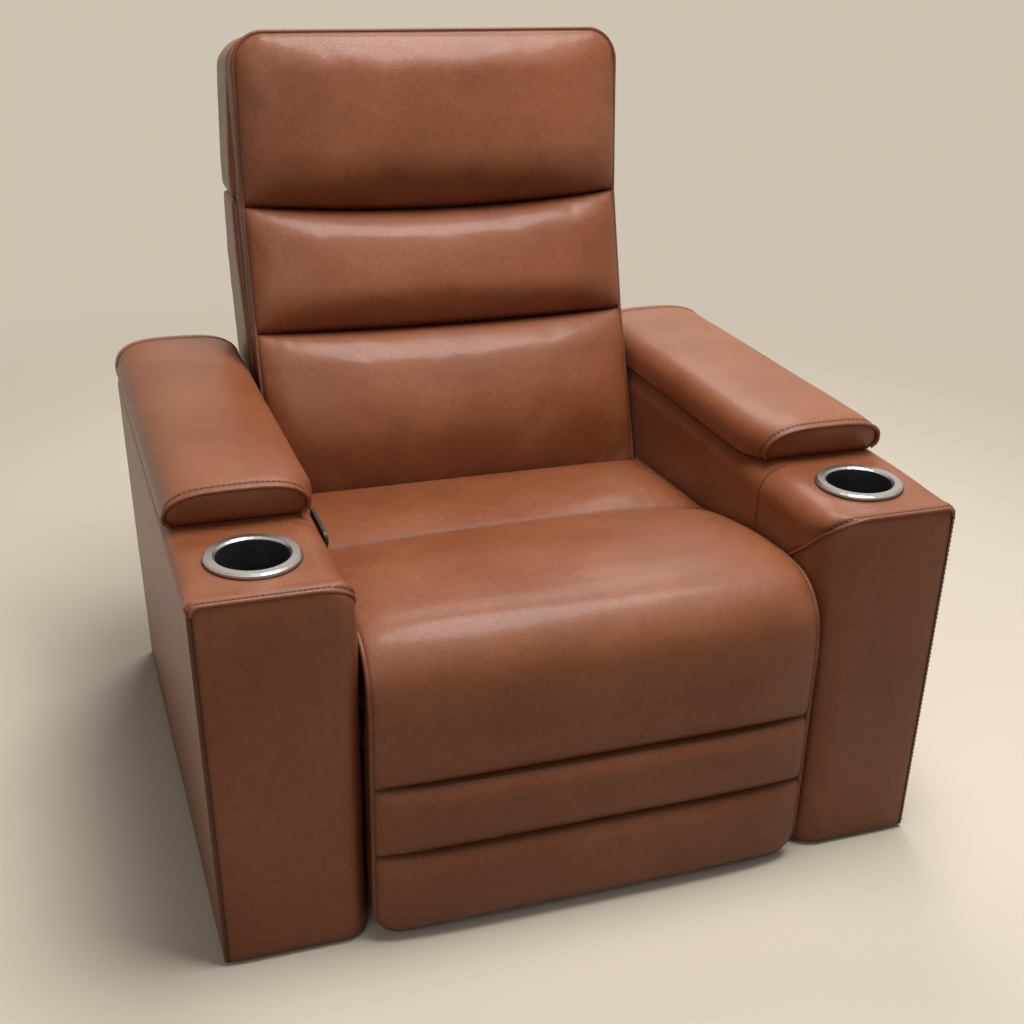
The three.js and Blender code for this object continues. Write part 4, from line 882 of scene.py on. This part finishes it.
    # Pad: it lies over the rear of the arm, and on the outer side its hide runs on down the arm.
    # Its front is a thin boxed lip with a welt round it; its rear is boxed too.
    along = np.concatenate([
        [0, 1.5, 3, 5, 6.5, 8, 10, 13, 17, 22, 28, 35, 43, 52, 64],
        np.linspace(78, pad_rear - pad_low - pad_rear_round, 50)])
    tail = np.linspace(0, math.pi / 2, 11)[1:]
    along = np.concatenate([along, along[-1] + pad_rear_round * np.sin(tail)])
    to_rear = np.concatenate([np.zeros(len(along) - len(tail)), 1 - np.cos(tail)])
    rise = np.clip(along / pad_rise_length, 0, 1)
    high = pad_lip_height + 7 * quarter(along, pad_rise_length)
    high = high * np.sqrt(np.clip(1 - to_rear ** 2, 0.0, 1)) * (1 - 0.1 * to_rear)
    half = pad_lip_half + 6 * rise * rise * (3 - 2 * rise) - 10 * to_rear ** 2
    around = np.linspace(0, math.pi, 49)
    across = -np.sign(np.cos(around)) * np.abs(np.cos(around)) ** 0.62
    height = np.sin(around).clip(0) ** 0.62
    z = pad_base + high[:, None] * height[None, :]
    at_front = np.clip(1 - along / 34, 0, 1)[:, None]
    low = np.clip(1 - (z - arm_top) / 17, 0, 1)
    lip_corner = 15 * (1 - np.sqrt(1 - low ** 2)) * at_front
    u = (arm_wide + pad_overhang - half)[:, None] + half[:, None] * across[None, :]
    u = u - np.sign(across) * lip_corner
    lean = pad_lean * (1 - np.clip(along / 70, 0, 1))[:, None] * height[None, :]
    y = pad_low + along[:, None] - lean
    skirt_share = np.array([0.3, 0.65, 1.0])
    reach_down = (skirt_drop * np.clip((along - 2) / 40, 0, 1) * (1 - to_rear))[:, None]
    side_u = arm_wide + pad_overhang - 13 * np.clip(along / 40, 0, 1)[:, None]
    side_u = side_u - 15 * at_front + np.zeros(len(skirt_share))
    skirt_z = pad_base - reach_down * skirt_share[None, :]
    under_u = np.repeat(np.array([[arm_wide - 30, arm_wide / 2, 36]]), len(along), axis=0)
    under_z = np.full(under_u.shape, arm_top - 4.0) + 4.6 * (along < 2)[:, None]
    all_u = np.hstack([u, side_u, under_u, u[:, :1]])
    all_z = np.hstack([z, skirt_z, under_z, z[:, :1]])
    all_y = np.hstack([y, np.repeat(y[:, -1:], 6, axis=1), y[:, :1]])
    ring = np.stack([all_u, all_y, all_z], axis=-1)
    centre = np.array([np.mean(u[0]), pad_low - pad_lean * 0.45, arm_top + 24])
    inward = np.array([0.0, 0.3, 0.55, 0.75, 0.87, 0.94, 0.975])
    lip = centre + (ring[:1] - centre) * inward[:, None, None]
    lip[..., 1] += (3.2 - 13 * (1 - inward ** 2) ** 0.6)[:, None]
    outline = np.vstack([lip, ring])
    flat = np.stack([arm.sign * (arm_inner + outline[..., 0]), arm_front / mm + outline[..., 1],
                     outline[..., 2]], axis=-1) * mm
    middle = arm.place(np.array(arm_wide / 2), np.array(520.0), np.array(535.0))
    normal = raised(flat, np.ones(flat.shape[:2]), middle) - flat
    behind = np.concatenate([np.full(len(lip), -1.0), along])[:, None]
    seam_back = pad_rear - pad_low - 46
    rear_seam = np.exp(-((behind - seam_back) / 2.6) ** 2)
    stitch_dip = np.exp(-((behind - stitch_back) / 1.8) ** 2)
    uneven = wander(flat, 6.0, 8.0) * 0.9 + wander(flat, 17.0, 1.0) * 0.35
    lift = uneven * np.clip(behind / 25, 0, 1)
    flat = flat + normal * ((lift - 1.1 * stitch_dip - 1.6 * rear_seam) * mm)[..., None]
    # Painted shade mask: darker round the edge of the lip, along the stitching and at the rear
    # seam.
    lip_edge_shade = np.concatenate([np.exp(-((1 - inward) / 0.05) ** 2), np.exp(-(along / 2.0) ** 2)])
    crease_shade = np.clip(lip_edge_shade[:, None] + 0.8 * stitch_dip + rear_seam, 0, 1)
    crease_shade = crease_shade + np.zeros(flat.shape[:2])
    pad = sheet("arm_pad_leather_" + tag, flat, {"crease_shade": crease_shade})
    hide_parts("arm_pad_" + tag)
    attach(pad, "root")
    lip_row = len(lip)
    rim = flat[lip_row, :len(around)] + np.array([0, -1.0, 0]) * mm
    rim[0] = 0.65 * rim[0] + 0.35 * rim[1]
    rim[-1] = 0.65 * rim[-1] + 0.35 * rim[-2]
    tube("pad_welt_" + tag, [rim], 2.8)
    sewn = lip_row + pad_stitch_row
    stitches = stitch_runs(flat[sewn, 3:46], normal[sewn, 3:46])
    tube("pad_stitches_" + tag, stitches, stitch_radius, finish=thread, roundness=1)
    rear_row = lip_row + int(np.argmin(np.abs(along - seam_back)))
    tube("pad_rear_welt_" + tag, [flat[rear_row, 2:47]], 1.7)

    # Gasket under the rim of the cup holder
    bpy.ops.mesh.primitive_torus_add(major_radius=gasket_radius * mm, minor_radius=1.3 * mm,
                                     major_segments=72, minor_segments=8)
    gasket = bpy.context.object
    gasket.name = "cup_gasket_" + tag
    gasket.location = (cup.x, cup.y, (arm_top - 0.2) * mm)
    bpy.ops.object.transform_apply(location=True)
    bpy.ops.object.shade_smooth()
    gasket.data.materials.append(black_plastic)
    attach(gasket, "root")


# Cup holder rims: turned stainless steel, brushed round and round, let into the tops of the arms
# over black moulded cups.
steel, wire, place = new_finish("turned_steel")
split = wire.node("SeparateXYZ", {"Vector": place}, out="X")
across = wire.sum_of("ABSOLUTE", split) - abs(cup.x)
deep = Wire(wire.tree, split.socket.node.outputs["Y"]) - cup.y
from_axis = wire.sum_of("SQRT", across * across + deep * deep)
turned = wire.node("TexNoise", {"W": from_axis * 1100, "Detail": 1.0}, noise_dimensions="1D")
close_finish(
    wire,
    bump=turned,
    bump_depth=0.00005,
    bump_share=0.4,
    Base_Color=turned.between((0.42, 0.42, 0.425, 1), (0.62, 0.62, 0.625, 1)),
    Metallic=1.0,
    Roughness=0.24 + turned * 0.12)

# Arm carcasses, seat box and boards: sanded birch plywood, pale on its faces and banded along
# its edges, glued and screwed.
plywood, wire, place = new_finish("plywood_board")
along_grain = wire.node("Mapping", {"Vector": place, "Scale": (9.0, 1.1, 9.0)})
grain = wire.node(
    "TexNoise", {"Vector": along_grain, "Scale": 9.0, "Detail": 5.0, "Distortion": 0.8})
along_fibres = wire.node("Mapping", {"Vector": place, "Scale": (90.0, 6.0, 90.0)})
fibres = wire.node("TexNoise", {"Vector": along_fibres, "Scale": 6.0, "Detail": 2.0})
birch = ((0.32, (0.36, 0.22, 0.11)), (0.5, (0.50, 0.33, 0.18)), (0.68, (0.60, 0.42, 0.25)))
close_finish(
    wire,
    bump=fibres,
    bump_depth=0.0003,
    bump_share=0.4,
    Base_Color=wire.node("ValToRGB", {"Fac": grain}, stops=birch),
    Roughness=0.55 + fibres * 0.2)

# Base rails, side plates, back and headrest frames and leg brackets: steel tube and plate, welded
# together and powder coated black.
coated, wire, place = new_finish("powder_coat")
peel = wire.node("TexNoise", {"Vector": place, "Scale": 900.0, "Detail": 1.0})
dust = wire.node("TexNoise", {"Vector": place, "Scale": 12.0, "Detail": 4.0})
close_finish(
    wire,
    bump=peel,
    bump_depth=0.0002,
    bump_share=0.5,
    Base_Color=dust.between((0.014, 0.014, 0.015, 1), (0.032, 0.031, 0.030, 1)),
    Roughness=0.36 + dust * 0.2)

# Lift links, drive rails and seat springs: steel, cut or bent to shape and plated with zinc, cool
# and slightly clouded.
plated, wire, place = new_finish("zinc_plate")
spangle = wire.node("TexVoronoi", {"Vector": place, "Scale": 160.0}, out="Distance")
cloud = wire.node("TexNoise", {"Vector": place, "Scale": 40.0, "Detail": 4.0})
close_finish(
    wire,
    bump=cloud,
    bump_depth=0.0001,
    Base_Color=(cloud * 0.7 + spangle * 0.3).between((0.44, 0.46, 0.48, 1), (0.66, 0.67, 0.67, 1)),
    Metallic=1.0,
    Roughness=0.28 + cloud * 0.16)

# Webbing: elastic straps woven from black polyester, stretched across the back frame and fixed to
# its tubes.
woven, wire, place = new_finish("woven_strap")
warp, weft = (
    wire.node("TexWave", {"Vector": place, "Scale": threads, "Distortion": 0.6}, out="Fac",
              bands_direction=direction)
    for threads, direction in ((260.0, "X"), (180.0, "Z")))
weave = warp * weft
close_finish(
    wire,
    bump=weave,
    bump_depth=0.0006,
    Base_Color=weave.between((0.018, 0.018, 0.022, 1), (0.052, 0.051, 0.056, 1)),
    Roughness=0.7 + warp * 0.15)

# Switch buttons: soft black rubber, moulded, matt, with a faint dusty bloom. They stand in the
# black bezel on the inner face of one arm.
soft_black, wire, place = new_finish("soft_rubber")
bloom = wire.node("TexNoise", {"Vector": place, "Scale": 60.0, "Detail": 4.0})
close_finish(
    wire,
    bump=bloom,
    bump_depth=0.0002,
    bump_share=0.4,
    Base_Color=bloom.between((0.014, 0.014, 0.014, 1), (0.030, 0.030, 0.029, 1)),
    Roughness=0.6 + bloom * 0.15)

# Every solid that shows as it is, such as a frame, a board or a drive, takes the finish that
# belongs to its own material.
finish_of = {
    "leather": leather,
    "brushed_steel": steel,
    "plywood": plywood,
    "black_steel": coated,
    "zinc_steel": plated,
    "webbing": woven,
    "rubber": soft_black,
    "black_plastic": black_plastic,
}
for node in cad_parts.values():
    for layer in node.material_slots:
        layer.material = finish_of[layer.material.name.split(".")[0]]


# Floor and light: a plain pale sheet under the chair and soft lamps round it, all at the level
# where a colour renders as it is written. The pale background is the floor's own colour.
bpy.ops.mesh.primitive_plane_add(size=40, location=(0, 0, 0))
floor = bpy.context.object
floor.name = "floor"
pale = (0.62, 0.545, 0.445, 1)
shade_on_chair = (0.14, 0.09, 0.06, 1)


def seen_rays(wire):
    """One for rays that show a surface, to the eye or mirrored, and nought for those that light."""
    camera_ray, glossy_ray, clear_ray = (
        wire.node("LightPath", out=kind)
        for kind in ("Is Camera Ray", "Is Glossy Ray", "Is Transmission Ray"))
    return camera_ray + glossy_ray + clear_ray


floor_finish, wire, place = new_finish("floor")
seen = seen_rays(wire)
near = wire.node("BsdfPrincipled", {
    "Base Color": seen.between(shade_on_chair, pale),
    "Roughness": wire.node("TexNoise", {"Vector": place, "Scale": 2.0}) * 0.1 + 0.75})
distant = wire.node("Emission", {"Color": pale, "Strength": 1.0})
distance = wire.node("VectorMath", {0: place}, out="Value", operation="LENGTH")
away = wire.node("MapRange", {"Value": distance, "From Min": 1.2, "From Max": 3.0},
                 interpolation_type="SMOOTHSTEP")
floor_surface = wire.node("MixShader", {0: away * seen, 1: near, 2: distant})
floor_output = floor_finish.node_tree.nodes.new("ShaderNodeOutputMaterial")
floor_finish.node_tree.links.new(floor_surface.socket, floor_output.inputs["Surface"])
floor.data.materials.append(floor_finish)

aim = Vector((0, 0, 0.5))
lamps = (
    ("top_lamp", (0.5, -0.4, 3.3), 1.6, 118),
    ("back_lamp", (0.9, 2.3, 3.0), 1.8, 50),
    ("key_lamp", (-1.8, -2.6, 2.2), 1.8, 22),
    ("fill_lamp", (2.6, -1.6, 1.6), 2.0, 4),
)
for name, where, width, power in lamps:
    bpy.ops.object.light_add(type="AREA", location=where)
    lamp = bpy.context.object
    lamp.name = name
    lamp.data.shape = "SQUARE"
    lamp.data.size = width
    lamp.data.energy = power
    lamp.rotation_mode = "QUATERNION"
    lamp.rotation_quaternion = (aim - Vector(where)).to_track_quat("-Z", "Y")
world = bpy.data.worlds.new("studio")
world.use_nodes = True
world.node_tree.nodes.clear()
wire = Wire(world.node_tree)
world_strength = seen_rays(wire) * 0.88 + 0.12
backdrop = wire.node("Background", {"Color": pale, "Strength": world_strength})
world_output = world.node_tree.nodes.new("ShaderNodeOutputWorld")
world.node_tree.links.new(backdrop.socket, world_output.inputs["Surface"])
bpy.context.scene.world = world
bpy.context.scene.view_settings.view_transform = "Standard"
